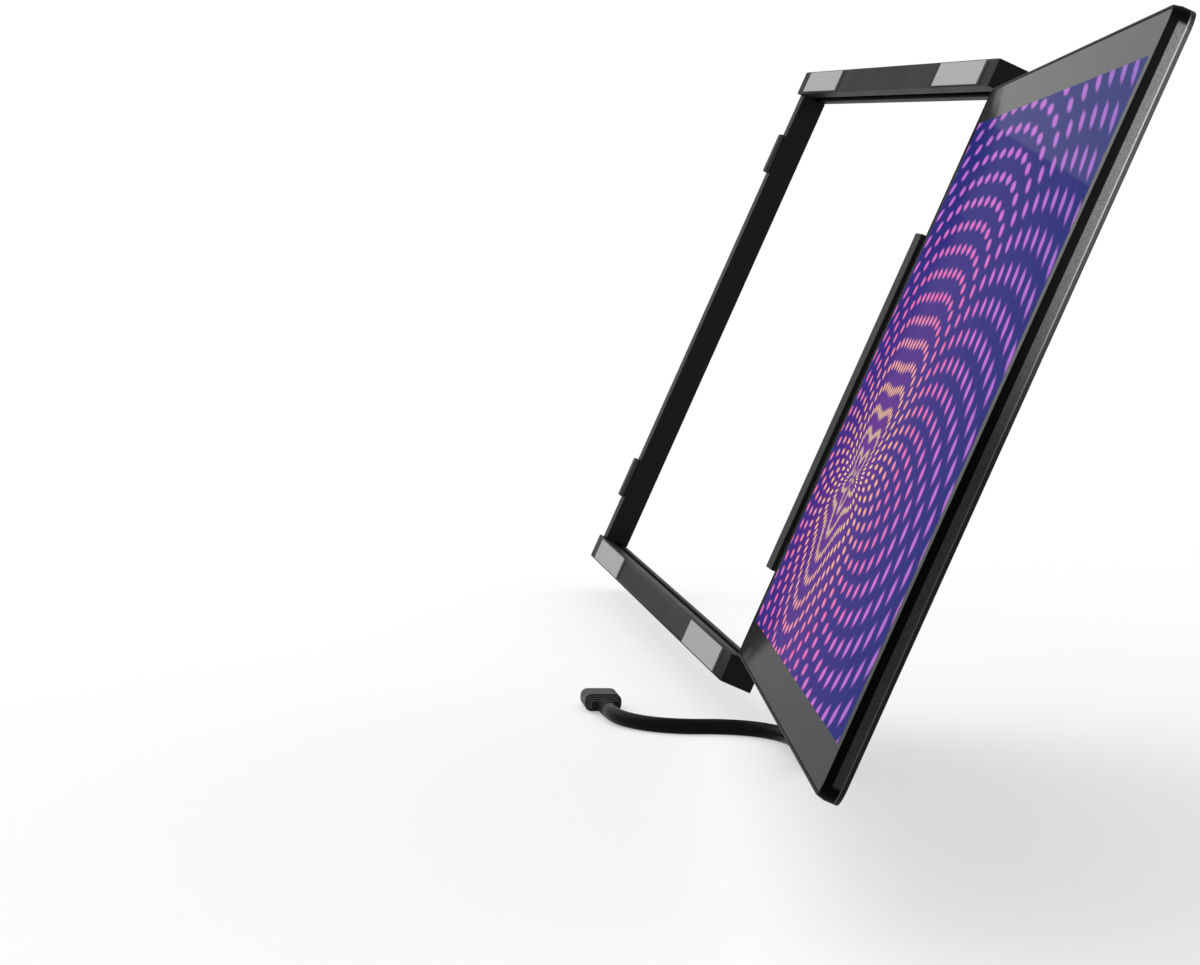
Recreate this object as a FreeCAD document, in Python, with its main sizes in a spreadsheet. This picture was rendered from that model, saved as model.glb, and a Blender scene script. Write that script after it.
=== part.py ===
import FreeCAD, Part
import math
import os
import Sketcher

# Slide-out second screen that hangs on the back of a notebook lid.
# Row frame: X along the slide, towards the side where the screen comes out, Z up, Y away from the user.
# The origin is the middle of the face that sits on the lid, which leans back by lid_recline.
# Everything but the free cable is drawn in the lid's own frame (x along the slide, y square out of
# the lid's back, z up along the lid), and the screen is drawn in line with the case.

DRIVING = [
    # How the object hangs in the picture
    ("lid_recline", 22.9, "how far the lid leans back, in degrees"),
    ("screen_turn", 7.1, "how far the screen is turned to the user at rest, in degrees"),
    ("desk_drop", 110.3, "from the origin down to the desk"),
    # Screen unit
    ("screen_width", 308.0, "outside, along the slide"),
    ("screen_height", 190.0, "outside, up the lid"),
    ("screen_corner", 5.0, "outside corner radius"),
    ("screen_front", 1.2, "front face of the rim, from the lid"),
    ("rim_depth", 4.4, "front to back"),
    ("rim_lip", 1.2, "lip round the cover glass"),
    ("glass_recess", 0.15, "glass below the lip"),
    ("glass_thickness", 0.7, "cover glass"),
    ("glass_gap", 0.1, "round the glass"),
    ("side_border", 7.1, "screen's edge to the lit area, left and right"),
    ("end_border", 12.4, "screen's edge to the lit area, above and below"),
    ("cell_side_gap", 1.2, "cell to the rim, left and right"),
    ("cell_end_gap", 2.3, "cell to the rim, above and below"),
    ("cell_border", 1.6, "cell past the lit area"),
    ("cell_thickness", 1.1, "display cell"),
    ("film_thickness", 0.35, "film stack"),
    ("guide_thickness", 0.9, "light guide"),
    ("guide_gap", 0.1, "guide to tray wall"),
    ("tray_inset", 0.2, "tray inside the cell's edge"),
    ("tray_sheet", 0.25, "sheet of the tray"),
    ("lamp_width", 0.8, "lamp strip, up the lid"),
    ("cover_thickness", 1.0, "wall of the back cover"),
    # Bulge of the back cover, over the electronics
    ("bulge_left", 70.0, "from the hinge axis"),
    ("bulge_width", 172.0, "along the slide"),
    ("bulge_bottom", -45.0, "lower face"),
    ("bulge_height", 92.0, "up the lid"),
    ("bulge_rise", 6.0, "proud of the back cover"),
    ("bulge_corner", 6.0, "corner radius"),
    ("board_thickness", 0.8, "circuit boards"),
    ("board_edge_gap", 1.6, "board to the bulge's wall"),
    ("board_width", 96.0, "controller board"),
    ("board_height", 40.0, "controller board"),
    ("boss_radius", 2.0, "screw bosses"),
    ("port_first", 15.0, "first socket, from the bulge's left face"),
    ("port_pitch", 22.0, "between the sockets"),
    ("port_length", 7.4, "socket depth"),
    ("port_mouth_width", 8.9, "socket mouth"),
    ("port_mouth_depth", 3.2, "socket mouth"),
    ("plug_room", 0.3, "plug body to the back cover"),
    ("port_shell", 0.25, "sheet of the socket"),
    ("straight_left", 0.01, "straight side left between the round ends of a mouth"),
    ("ribbon_width", 24.0, "flat cable to the panel"),
    ("ribbon_sheet", 0.2, "flat cable"),
    ("ribbon_tail", 4.0, "flat cable bonded to the tray"),
    ("ribbon_bend", 1.0, "before the connector"),
    ("ribbon_lap", 2.0, "on the connector"),
    # Buttons in the bulge's back
    ("button_pitch", 14.0, "between the buttons"),
    ("button_from_right", 18.0, "outer button to the bulge's right face"),
    ("button_level", 28.0, "above the hinge's middle"),
    ("power_radius", 3.2, "power button"),
    ("key_radius", 2.5, "brightness buttons"),
    ("button_clearance", 0.1, "round a button"),
    ("button_proud", 0.5, "out of the cover"),
    ("button_travel", 0.5, "push"),
    ("button_flange", 0.8, "flange past the button"),
    ("flange_depth", 0.6, "flange thickness"),
    ("switch_depth", 0.7, "switches on their board"),
    ("button_board_trim", 1.0, "button board inside half a pitch past its outer buttons"),
    # Hinge
    ("hinge_from_edge", 4.2, "axis to the screen's inner edge"),
    ("case_to_hinge", 5.0, "case's end to the axis"),
    ("leaf_screw_edge", 2.7, "screen leaf's screws, from the screen's inner edge"),
    ("hinge_depth", 13.2, "axis from the lid"),
    ("pin_radius", 1.25, "hinge pin"),
    ("pin_clearance", 0.03, "pin in its bush"),
    ("bush_wall", 0.6, "friction bush"),
    ("knuckle_radius", 2.6, "outside of the knuckles"),
    ("knuckle_length", 12.9, "one knuckle"),
    ("knuckle_gap", 0.2, "between knuckles"),
    ("upper_hinge", 32.0, "middle of the upper hinge"),
    ("lower_hinge", -53.0, "middle of the lower hinge"),
    ("leaf_sheet", 1.2, "sheet of the leaves"),
    ("screen_leaf_reach", 26.0, "leaf on the back cover, from the axis"),
    ("pin_head", 0.8, "head of the pin"),
    # Carriage
    ("bar_near", 6.8, "carriage bar, right face, from the axis"),
    ("bar_width", 8.7, "along the slide"),
    ("bar_front", 1.5, "front face, from the lid"),
    ("bar_back", 10.2, "back face, from the lid"),
    ("block_top", 46.3, "top of the thick middle"),
    ("block_bottom", -67.3, "bottom of the thick middle"),
    ("arm_depth", 2.8, "thin arms, front to back"),
    ("shoe_length", 15.2, "along the slide"),
    ("shoe_clearance", 0.08, "shoe in the rail, each side"),
    ("pad_depth", 0.5, "friction pad"),
    # Case on the lid
    ("case_width", 312.0, "rails, along the slide"),
    ("rail_gap", 0.6, "screen to rail"),
    ("rail_height", 9.2, "up the lid"),
    ("rail_depth", 10.4, "front to back"),
    ("rail_wall", 1.4, "walls of the rail"),
    ("rail_web", 3.0, "front wall, with the magnets"),
    ("slot_clearance", 0.3, "arm in the rail's slot"),
    ("cut_past", 1.0, "how far an open cut runs past its face"),
    ("end_bar_width", 8.0, "along the slide"),
    ("end_bar_front", 2.0, "front face, from the lid"),
    ("cap_thickness", 1.2, "rail end cap"),
    ("cap_plug", 1.6, "cap inside the rail"),
    ("plate_thickness", 0.6, "steel plate with its adhesive"),
    ("magnet_length", 60.0, "along the slide"),
    ("magnet_height", 6.0, "up the lid"),
    ("magnet_depth", 2.0, "front to back"),
    ("magnet_from_end", 14.0, "magnet to the case's end"),
    ("plate_margin", 1.0, "plate past its magnet"),
    # Small screws
    ("screw_radius", 0.8, "shank"),
    ("screw_head_radius", 1.5, "head"),
    ("screw_head", 0.6, "head height"),
    ("screw_clearance", 0.05, "round a screw"),
    ("cover_screw_edge", 4.6, "cover screws, from the edge above and below"),
    # Cable and its plugs
    ("cable_diameter", 4.8, "signal and power cable"),
    ("overmold_width", 11.6, "plug body"),
    ("overmold_depth", 5.5, "plug body"),
    ("overmold_length", 18.0, "plug body"),
    ("overmold_corner", 2.2, "plug body"),
    ("tongue_width", 8.3, "plug's steel mouth"),
    ("tongue_depth", 2.5, "plug's steel mouth"),
    ("tongue_length", 6.4, "plug's steel mouth"),
    ("tongue_wall", 0.3, "plug's steel mouth"),
    ("relief_length", 8.0, "strain relief"),
    ("relief_radius", 2.7, "strain relief at the plug"),
    ("end_bar_floor", 1.6, "floor of the end bar's channel"),
    ("end_bar_wall", 1.5, "walls of the end bar's channel"),
    ("end_bar_block", 12.0, "solid end blocks of the end bar"),
    ("bar_screw_head", 1.2, "clamp screw's head"),
    ("bar_screw_head_radius", 2.4, "clamp screw's head"),
    ("cap_fit", 0.05, "cap in the rail"),
    ("bumper_level", 70.0, "rubber bumpers, above and below the middle"),
    ("bumper_length", 16.0, "up the lid"),
    ("arm_in_shoe", 3.0, "arm's tip in its shoe"),
    ("pad_height", 3.0, "friction pad, up the lid"),
    ("leaf_screw_step", 9.0, "leaf screws from the hinge's middle"),
    ("leaf_screw_bite", 5.0, "screw in the carriage bar"),
    ("hinge_cover_gap", 0.5, "cover to the lower hinge's pin"),
    ("boss_floor", 0.4, "left under a boss hole"),
    ("board_notch", 0.1, "board round a socket"),
    ("socket_floor", 0.8, "socket's back"),
    ("socket_tongue_start", 1.4, "from the mouth"),
    ("socket_tongue_width", 6.6, "contact tongue"),
    ("socket_tongue_depth", 0.7, "contact tongue"),
    ("cover_screw_side", 14.0, "cover screws, from the sides"),
    ("button_ribbon_width", 6.0, "flat cable to the buttons"),
    ("relief_tip", 0.15, "strain relief over the cable"),
]


class Size:
    """A length that carries its spreadsheet formula along with its value."""

    def __init__(self, text, value):
        self.text = text
        self.value = value

    def __add__(self, other):
        other = as_size(other)
        return Size("(%s + %s)" % (self.text, other.text), self.value + other.value)

    def __sub__(self, other):
        other = as_size(other)
        return Size("(%s - %s)" % (self.text, other.text), self.value - other.value)

    def __mul__(self, other):
        other = as_size(other)
        return Size("(%s * %s)" % (self.text, other.text), self.value * other.value)

    def __truediv__(self, other):
        other = as_size(other)
        return Size("(%s / %s)" % (self.text, other.text), self.value / other.value)

    def __neg__(self):
        return Size("(0 - %s)" % self.text, -self.value)

    __radd__ = __add__


def as_size(item):
    return item if isinstance(item, Size) else Size("%r" % float(item), float(item))


doc = FreeCAD.newDocument("screen_extender")
sheet = doc.addObject("Spreadsheet::Sheet", "sheet")


class Sizes:
    """The driving dimensions by name, each tied to its cell."""


size = Sizes()
for row, (name, value, note) in enumerate(DRIVING, start=1):
    sheet.set("A%d" % row, note)
    sheet.set("B%d" % row, str(value))
    sheet.setAlias("B%d" % row, name)
    setattr(size, name, Size("sheet." + name, value))
doc.recompute()

# Places that follow from the driving dimensions, in the lid's frame.
case_right = size.case_width / 2
case_left = -size.case_width / 2
axis_x = case_right + size.case_to_hinge
axis_y = size.hinge_depth
screen_left = axis_x + size.hinge_from_edge
screen_right = screen_left + size.screen_width
screen_top = size.screen_height / 2
screen_bottom = -size.screen_height / 2
screen_middle = screen_left + size.screen_width / 2
rim_back = size.screen_front + size.rim_depth
cover_back = rim_back + size.cover_thickness
glass_front = size.screen_front + size.glass_recess
glass_back = glass_front + size.glass_thickness
cell_back = glass_back + size.cell_thickness
film_back = cell_back + size.film_thickness
guide_back = film_back + size.guide_thickness
tray_back = guide_back + size.tray_sheet
cell_half_width = size.screen_width / 2 - size.side_border + size.cell_border
cell_half_height = size.screen_height / 2 - size.end_border + size.cell_border
rim_side = size.side_border - size.cell_border - size.cell_side_gap
rim_end = size.end_border - size.cell_border - size.cell_end_gap
bulge_x0 = axis_x + size.bulge_left
bulge_x1 = bulge_x0 + size.bulge_width
bulge_z0 = size.bulge_bottom
bulge_z1 = bulge_z0 + size.bulge_height
bulge_back = cover_back + size.bulge_rise
bulge_inner = bulge_back - size.cover_thickness
rail_inner = screen_top + size.rail_gap
rail_outer = rail_inner + size.rail_height
rail_middle = (rail_inner + rail_outer) / 2
rail_front = size.plate_thickness
rail_back = rail_front + size.rail_depth
cavity_front = rail_front + size.rail_web
cavity_back = rail_back - size.rail_wall
cavity_inner = rail_inner + size.rail_wall
cavity_outer = rail_outer - size.rail_wall
arm_middle = (cavity_front + cavity_back) / 2
arm_front = arm_middle - size.arm_depth / 2
arm_back = arm_middle + size.arm_depth / 2
bar_right = axis_x - size.bar_near
bar_left = bar_right - size.bar_width
shoe_inner = cavity_inner + size.shoe_clearance
shoe_outer = cavity_outer - size.shoe_clearance
shoe_front = cavity_front + size.shoe_clearance
shoe_back = cavity_back - size.shoe_clearance

# Where each group of pieces stands: the case leans back with the lid, the screen turns on its hinge.
recline = size.lid_recline.value
case_home = FreeCAD.Placement(FreeCAD.Vector(), FreeCAD.Rotation(FreeCAD.Vector(1, 0, 0), -recline))
hinge_point = FreeCAD.Vector(axis_x.value, axis_y.value, 0)
turn = FreeCAD.Rotation(FreeCAD.Vector(0, 0, 1), -size.screen_turn.value)
screen_home = case_home.multiply(FreeCAD.Placement(FreeCAD.Vector(), turn, hinge_point))

pieces = []


def new_body(label, home):
    """An empty body that will stand at home once it is built."""
    made = doc.addObject("PartDesign::Body", label)
    made.Label = label
    pieces.append((made, home))
    return made


class Loops:
    """Closed outlines in one sketch, each corner tied to the sheet."""

    def __init__(self, sketch):
        self.sketch = sketch

    def tie(self, kind, size_wanted, *where):
        index = self.sketch.addConstraint(Sketcher.Constraint(kind, *where, size_wanted.value))
        self.sketch.setExpression("Constraints[%d]" % index, size_wanted.text)

    def corners(self, points):
        """An outline of straight lines through points given as pairs of sizes."""
        points = [(as_size(a), as_size(b)) for a, b in points]
        flat = [FreeCAD.Vector(a.value, b.value, 0) for a, b in points]
        first = self.sketch.GeometryCount
        count = len(flat)
        for i in range(count):
            self.sketch.addGeometry(Part.LineSegment(flat[i], flat[(i + 1) % count]), False)
        for i in range(count):
            after = first + (i + 1) % count
            self.sketch.addConstraint(Sketcher.Constraint("Coincident", first + i, 2, after, 1))
            self.tie("DistanceX", points[i][0], -1, 1, first + i, 1)
            self.tie("DistanceY", points[i][1], -1, 1, first + i, 1)

    def box(self, a0, a1, b0, b1, radius=None):
        """A rectangle, with round corners where a radius is given."""
        if radius is None:
            self.corners([(a0, b0), (a1, b0), (a1, b1), (a0, b1)])
            return
        a0, a1, b0, b1 = as_size(a0), as_size(a1), as_size(b0), as_size(b1)
        round_by = radius.value
        low_a, high_a, low_b, high_b = a0.value, a1.value, b0.value, b1.value
        first = self.sketch.GeometryCount
        ends = [
            ((low_a + round_by, low_b), (high_a - round_by, low_b)),
            ((high_a, low_b + round_by), (high_a, high_b - round_by)),
            ((high_a - round_by, high_b), (low_a + round_by, high_b)),
            ((low_a, high_b - round_by), (low_a, low_b + round_by)),
        ]
        centres = [
            (high_a - round_by, low_b + round_by),
            (high_a - round_by, high_b - round_by),
            (low_a + round_by, high_b - round_by),
            (low_a + round_by, low_b + round_by),
        ]
        for side in range(4):
            start, end = ends[side]
            line = Part.LineSegment(FreeCAD.Vector(*start, 0), FreeCAD.Vector(*end, 0))
            self.sketch.addGeometry(line, False)
            circle = Part.Circle(FreeCAD.Vector(*centres[side], 0), FreeCAD.Vector(0, 0, 1), round_by)
            opening = math.radians(90 * side - 90)
            self.sketch.addGeometry(Part.ArcOfCircle(circle, opening, opening + math.pi / 2), False)
        for side in range(4):
            line, arc = first + 2 * side, first + 2 * side + 1
            after = first + (2 * side + 2) % 8
            self.sketch.addConstraint(Sketcher.Constraint("Tangent", line, 2, arc, 1))
            self.sketch.addConstraint(Sketcher.Constraint("Tangent", arc, 2, after, 1))
            direction = "Horizontal" if side % 2 == 0 else "Vertical"
            self.sketch.addConstraint(Sketcher.Constraint(direction, line))
            if side:
                self.sketch.addConstraint(Sketcher.Constraint("Equal", first + 1, arc))
        self.tie("Radius", radius, first + 1)
        self.tie("DistanceY", b0, -1, 1, first, 1)
        self.tie("DistanceX", a1, -1, 1, first + 2, 1)
        self.tie("DistanceY", b1, -1, 1, first + 4, 1)
        self.tie("DistanceX", a0, -1, 1, first + 6, 1)

    def disc(self, a, b, radius):
        a, b, radius = as_size(a), as_size(b), as_size(radius)
        middle = FreeCAD.Vector(a.value, b.value, 0)
        circle = Part.Circle(middle, FreeCAD.Vector(0, 0, 1), radius.value)
        index = self.sketch.addGeometry(circle, False)
        self.tie("Radius", radius, index)
        self.tie("DistanceX", a, -1, 1, index, 3)
        self.tie("DistanceY", b, -1, 1, index, 3)


def sketch_on(body, plane, level):
    """A sketch on one of the body's own planes, raised to level along the plane's normal."""
    made = body.newObject("Sketcher::SketchObject", body.Name + "_sketch")
    origin_plane = [f for f in body.Origin.OriginFeatures if f.Role == plane + "_Plane"][0]
    made.AttachmentSupport = [(origin_plane, "")]
    made.MapMode = "FlatFace"
    made.setExpression("AttachmentOffset.Base.z", level.text)
    return made


def feature(body, kind, plane, start, end, draw):
    """A pad or a pocket from start to end along the plane's axis. XZ faces down the y axis."""
    start, end = as_size(start), as_size(end)
    from_end = (kind == "Pocket") != (plane == "XZ")
    level = end if from_end else start
    sketch = sketch_on(body, plane, -level if plane == "XZ" else level)
    draw(Loops(sketch))
    made = body.newObject("PartDesign::" + kind, body.Name + "_" + kind.lower())
    made.Profile = sketch
    made.Type = 0
    made.setExpression("Length", (end - start).text)
    return made


def pad(body, plane, start, end, draw):
    return feature(body, "Pad", plane, start, end, draw)


def pocket(body, plane, start, end, draw):
    return feature(body, "Pocket", plane, start, end, draw)


def plate(label, home, box, start, end, radius=None, plane="XZ"):
    """A flat plate: box is its outline on the plane, start and end its faces."""
    made = new_body(label, home)
    pad(made, plane, start, end, lambda draw: draw.box(*box, radius))
    return made


def discs(radius, places):
    """Draws one disc of the same radius at each place."""

    def draw(loops):
        for a, b in places:
            loops.disc(a, b, radius)

    return draw


def boxes(*outlines):
    """Draws several plain rectangles."""

    def draw(loops):
        for outline in outlines:
            loops.box(*outline)

    return draw


def screws(label, home, places, under_head, tip, head_towards_back=True):
    """Small pan screws along y: heads behind under_head, shanks forward to tip."""
    made = new_body(label, home)
    if head_towards_back:
        pad(made, "XZ", under_head, under_head + size.screw_head, discs(size.screw_head_radius, places))
        pad(made, "XZ", tip, under_head, discs(size.screw_radius, places))
    else:
        pad(made, "XZ", under_head - size.screw_head, under_head, discs(size.screw_head_radius, places))
        pad(made, "XZ", under_head, tip, discs(size.screw_radius, places))
    return made


hole_radius = size.screw_radius + size.screw_clearance
head_room = size.screw_head_radius + size.screw_clearance

# Case: two rails, an end bar, end caps, magnets in the rails and steel plates on the lid.


def make_rail(label, up):
    """A C-shaped rail with its slot towards the screen. up is +1 for the top rail, -1 below."""
    made = new_body(label, case_home)

    def outline(inner, outer):
        return (inner, outer) if up > 0 else (-outer, -inner)

    def section(draw):
        draw.box(rail_front, rail_back, *outline(rail_inner, rail_outer))

    def cavity(draw):
        draw.box(cavity_front, cavity_back, *outline(cavity_inner, cavity_outer))

    def slot(draw):
        slot_front = arm_front - size.slot_clearance
        slot_back = arm_back + size.slot_clearance
        draw.box(slot_front, slot_back, *outline(rail_inner - size.cut_past, cavity_inner + size.cut_past / 2))

    pad(made, "YZ", case_left, case_right, section)
    pocket(made, "YZ", case_left - size.cut_past, case_right + size.cut_past, cavity)
    pocket(made, "YZ", case_left - size.cut_past, case_right + size.cut_past, slot)
    low, high = outline(rail_middle - size.magnet_height / 2, rail_middle + size.magnet_height / 2)
    pocket(made, "XZ", rail_front - size.cut_past, rail_front + size.magnet_depth,
           boxes(*[(x0, x1, low, high) for x0, x1 in magnet_spans]))
    return made


magnet_spans = [
    (case_left + size.magnet_from_end, case_left + size.magnet_from_end + size.magnet_length),
    (case_right - size.magnet_from_end - size.magnet_length, case_right - size.magnet_from_end),
]
top_rail = make_rail("top_rail", 1)
bottom_rail = make_rail("bottom_rail", -1)

magnets = new_body("rail_magnets", case_home)
plates = new_body("lid_plates", case_home)
for x0, x1 in magnet_spans:
    for low, high in (
        (rail_middle - size.magnet_height / 2, rail_middle + size.magnet_height / 2),
        (-rail_middle - size.magnet_height / 2, -rail_middle + size.magnet_height / 2),
    ):
        pad(magnets, "XZ", rail_front, rail_front + size.magnet_depth,
            boxes((x0, x1, low, high)))
        margin = size.plate_margin
        pad(plates, "XZ", Size("0", 0.0), size.plate_thickness,
            boxes((x0 - margin, x1 + margin, low - margin, high + margin)))

end_bar = plate("end_bar", case_home, (case_left, case_left + size.end_bar_width, -rail_inner, rail_inner),
                size.end_bar_front, rail_back)
pocket(end_bar, "XZ", size.end_bar_front + size.end_bar_floor, rail_back + size.cut_past,
       boxes((case_left + size.end_bar_wall, case_left + size.end_bar_width - size.end_bar_wall,
              -rail_inner + size.end_bar_block, rail_inner - size.end_bar_block)))
bar_screw = (case_left + size.end_bar_width / 2, arm_middle)
bar_screw_tip = rail_inner - size.end_bar_block + size.end_bar_wall
pocket(end_bar, "XY", bar_screw_tip, rail_inner, discs(hole_radius, [bar_screw]))
pocket(end_bar, "XY", -rail_inner, -bar_screw_tip, discs(hole_radius, [bar_screw]))

# The end bar's screws pass through the slots, and their wide heads clamp the rails to the bar.
end_screws = new_body("end_bar_screws", case_home)
for low, high in ((bar_screw_tip, cavity_inner), (-cavity_inner, -bar_screw_tip)):
    pad(end_screws, "XY", low, high, discs(size.screw_radius, [bar_screw]))
head_outer = cavity_inner + size.bar_screw_head
for low, high in ((cavity_inner, head_outer), (-head_outer, -cavity_inner)):
    pad(end_screws, "XY", low, high, discs(size.bar_screw_head_radius, [bar_screw]))

caps = new_body("rail_end_caps", case_home)
for low, high in ((rail_inner, rail_outer), (-rail_outer, -rail_inner)):
    inside = (cavity_front + size.cap_fit, cavity_back - size.cap_fit,
              low + size.rail_wall + size.cap_fit, high - size.rail_wall - size.cap_fit)
    for start, end, plug_start, plug_end in (
        (case_right, case_right + size.cap_thickness, case_right - size.cap_plug, case_right),
        (case_left - size.cap_thickness, case_left, case_left, case_left + size.cap_plug),
    ):
        pad(caps, "YZ", start, end, boxes((rail_front, rail_back, low, high)))
        pad(caps, "YZ", plug_start, plug_end, boxes(inside))

bumpers = new_body("lid_bumpers", case_home)
for low in (size.bumper_level - size.bumper_length / 2, -size.bumper_level - size.bumper_length / 2):
    pad(bumpers, "XZ", 0, size.end_bar_front,
        boxes((case_left + size.end_bar_wall, case_left + size.end_bar_width - size.end_bar_wall,
               low, low + size.bumper_length)))

# Carriage: a bar with a thick middle and two thin arms, shoes on the arms, and the fixed hinge leaves.
carriage = plate("carriage_bar", case_home, (bar_left, bar_right, size.block_bottom, size.block_top),
                 size.bar_front, size.bar_back)
arm_tip = shoe_inner + size.arm_in_shoe
pad(carriage, "XZ", arm_front, arm_back, boxes((bar_left, bar_right, -arm_tip, arm_tip)))

for label, low, high in (("upper_shoe", shoe_inner, shoe_outer), ("lower_shoe", -shoe_outer, -shoe_inner)):
    shoe = plate(label, case_home, (bar_right - size.shoe_length, bar_right, low, high), shoe_front, shoe_back)
    deep = (shoe_inner, arm_tip) if label == "upper_shoe" else (-arm_tip, -shoe_inner)
    pocket(shoe, "XZ", arm_front, arm_back, boxes((bar_left, bar_right, *deep)))
    pad_middle = (low + high) / 2
    pocket(shoe, "XZ", shoe_back - size.pad_depth, shoe_back,
           boxes((bar_left, bar_right, pad_middle - size.pad_height / 2, pad_middle + size.pad_height / 2)))

friction = new_body("friction_pads", case_home)
for middle in ((shoe_inner + shoe_outer) / 2, -(shoe_inner + shoe_outer) / 2):
    pad(friction, "XZ", shoe_back - size.pad_depth, shoe_back + size.shoe_clearance / 2,
        boxes((bar_left, bar_right, middle - size.pad_height / 2, middle + size.pad_height / 2)))

hinge_levels = (size.upper_hinge, size.lower_hinge)
half_leaf = size.knuckle_length + size.knuckle_gap / 2
axis_place = [(axis_x, axis_y)]

fixed_leaves = new_body("carriage_hinge_leaves", case_home)
leaf_front = size.bar_back
leaf_back = leaf_front + size.leaf_sheet
for level in hinge_levels:
    pad(fixed_leaves, "XZ", leaf_front, leaf_back,
        boxes((bar_left, bar_right, level - half_leaf, level + half_leaf)))
    pad(fixed_leaves, "XZ", leaf_front, leaf_back,
        boxes((bar_right, axis_x, level - half_leaf, level - size.knuckle_gap / 2)))
    pad(fixed_leaves, "XY", level - half_leaf, level - size.knuckle_gap / 2,
        discs(size.knuckle_radius, axis_place))
for level in hinge_levels:
    pocket(fixed_leaves, "XY", level - half_leaf, level, discs(size.pin_radius, axis_place))
fixed_screw_x = (bar_left + bar_right) / 2
fixed_screws = [(fixed_screw_x, level + step)
                for level in hinge_levels for step in (-size.leaf_screw_step, size.leaf_screw_step)]
pocket(fixed_leaves, "XZ", leaf_front, leaf_back, discs(hole_radius, fixed_screws))
fixed_tip = leaf_front - size.leaf_screw_bite
pocket(carriage, "XZ", fixed_tip, size.bar_back, discs(hole_radius, fixed_screws))
screws("carriage_leaf_screws", case_home, fixed_screws, leaf_back, fixed_tip)

pins = new_body("hinge_pins", case_home)
for level in hinge_levels:
    pad(pins, "XY", level - half_leaf, level + half_leaf + size.knuckle_gap, discs(size.pin_radius, axis_place))
    pad(pins, "XY", level + half_leaf + size.knuckle_gap, level + half_leaf + size.knuckle_gap + size.pin_head,
        discs(size.pin_radius + size.bush_wall, axis_place))

# The strip that shows between the lid and the screen: a cover round the middle of the hinge line.
cover_low = size.lower_hinge + half_leaf + size.hinge_cover_gap + size.pin_head
cover_high = size.upper_hinge - half_leaf - size.knuckle_gap
hinge_cover = new_body("hinge_cover", case_home)
pad(hinge_cover, "XY", cover_low, cover_high, discs(size.knuckle_radius, axis_place))
pad(hinge_cover, "XZ", leaf_front, leaf_back, boxes((bar_left, axis_x, cover_low, cover_high)))
pocket(hinge_cover, "XY", cover_low, cover_high, discs(size.pin_radius + size.bush_wall, axis_place))

# Screen: rim, glass, display stack and back cover.
outline = (screen_left, screen_right, screen_bottom, screen_top)
rim = plate("screen_rim", screen_home, outline, size.screen_front, rim_back, size.screen_corner)
opening = (screen_left + rim_side, screen_right - rim_side, screen_bottom + rim_end, screen_top - rim_end)
pocket(rim, "XZ", size.screen_front, rim_back, boxes(opening))
lip = size.rim_lip


def inset(by):
    return (screen_left + by, screen_right - by, screen_bottom + by, screen_top - by)


pocket(rim, "XZ", size.screen_front, glass_back,
       lambda draw: draw.box(*inset(lip), size.screen_corner - lip))
plate("cover_glass", screen_home, inset(lip + size.glass_gap), glass_front, glass_back,
      size.screen_corner - lip - size.glass_gap)


def about_middle(half_width, half_height):
    return (screen_middle - half_width, screen_middle + half_width, -half_height, half_height)


plate("lcd_panel", screen_home, about_middle(cell_half_width, cell_half_height), glass_back, cell_back)
tray_half_width = cell_half_width - size.tray_inset
tray_half_height = cell_half_height - size.tray_inset
tray = plate("panel_tray", screen_home, about_middle(tray_half_width, tray_half_height), cell_back, tray_back)
inner_half_width = tray_half_width - size.tray_sheet
inner_half_height = tray_half_height - size.tray_sheet
pocket(tray, "XZ", cell_back, guide_back, boxes(about_middle(inner_half_width, inner_half_height)))
guide_x0, guide_x1, low, high = about_middle(inner_half_width - size.guide_gap, inner_half_height - size.guide_gap)
guide_low = low + size.lamp_width + size.guide_gap
plate("film_stack", screen_home, (guide_x0, guide_x1, low, high), cell_back, film_back)
plate("light_guide", screen_home, (guide_x0, guide_x1, guide_low, high), film_back, guide_back)
plate("lamp_strip", screen_home, (guide_x0, guide_x1, -inner_half_height, -inner_half_height + size.lamp_width),
      film_back, guide_back)

back_cover = plate("back_cover", screen_home, outline, rim_back, cover_back, size.screen_corner)
bulge = (bulge_x0, bulge_x1, bulge_z0, bulge_z1)
wall = size.cover_thickness
hollow = (bulge_x0 + wall, bulge_x1 - wall, bulge_z0 + wall, bulge_z1 - wall)
pad(back_cover, "XZ", cover_back, bulge_back, lambda draw: draw.box(*bulge, size.bulge_corner))
pocket(back_cover, "XZ", rim_back, bulge_inner, lambda draw: draw.box(*hollow, size.bulge_corner - wall))

# Boards hang from bosses inside the bulge.
port_level = cover_back + size.plug_room + size.overmold_depth / 2
board_back = port_level + size.board_thickness / 2
board_front = board_back - size.board_thickness
board_x0 = hollow[0] + size.board_edge_gap
board_x1 = board_x0 + size.board_width
board_z0 = hollow[2] + size.board_edge_gap
board_z1 = board_z0 + size.board_height
edge = size.boss_radius + size.board_edge_gap
board_bosses = [(x, z) for x in (board_x0 + edge, board_x1 - edge) for z in (board_z0 + edge, board_z1 - edge)]
ports = [bulge_x0 + size.port_first, bulge_x0 + size.port_first + size.port_pitch]
board_bosses[0] = ((ports[0] + ports[1]) / 2, board_z0 + edge)
pad(back_cover, "XZ", board_back, bulge_inner, discs(size.boss_radius, board_bosses))

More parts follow.
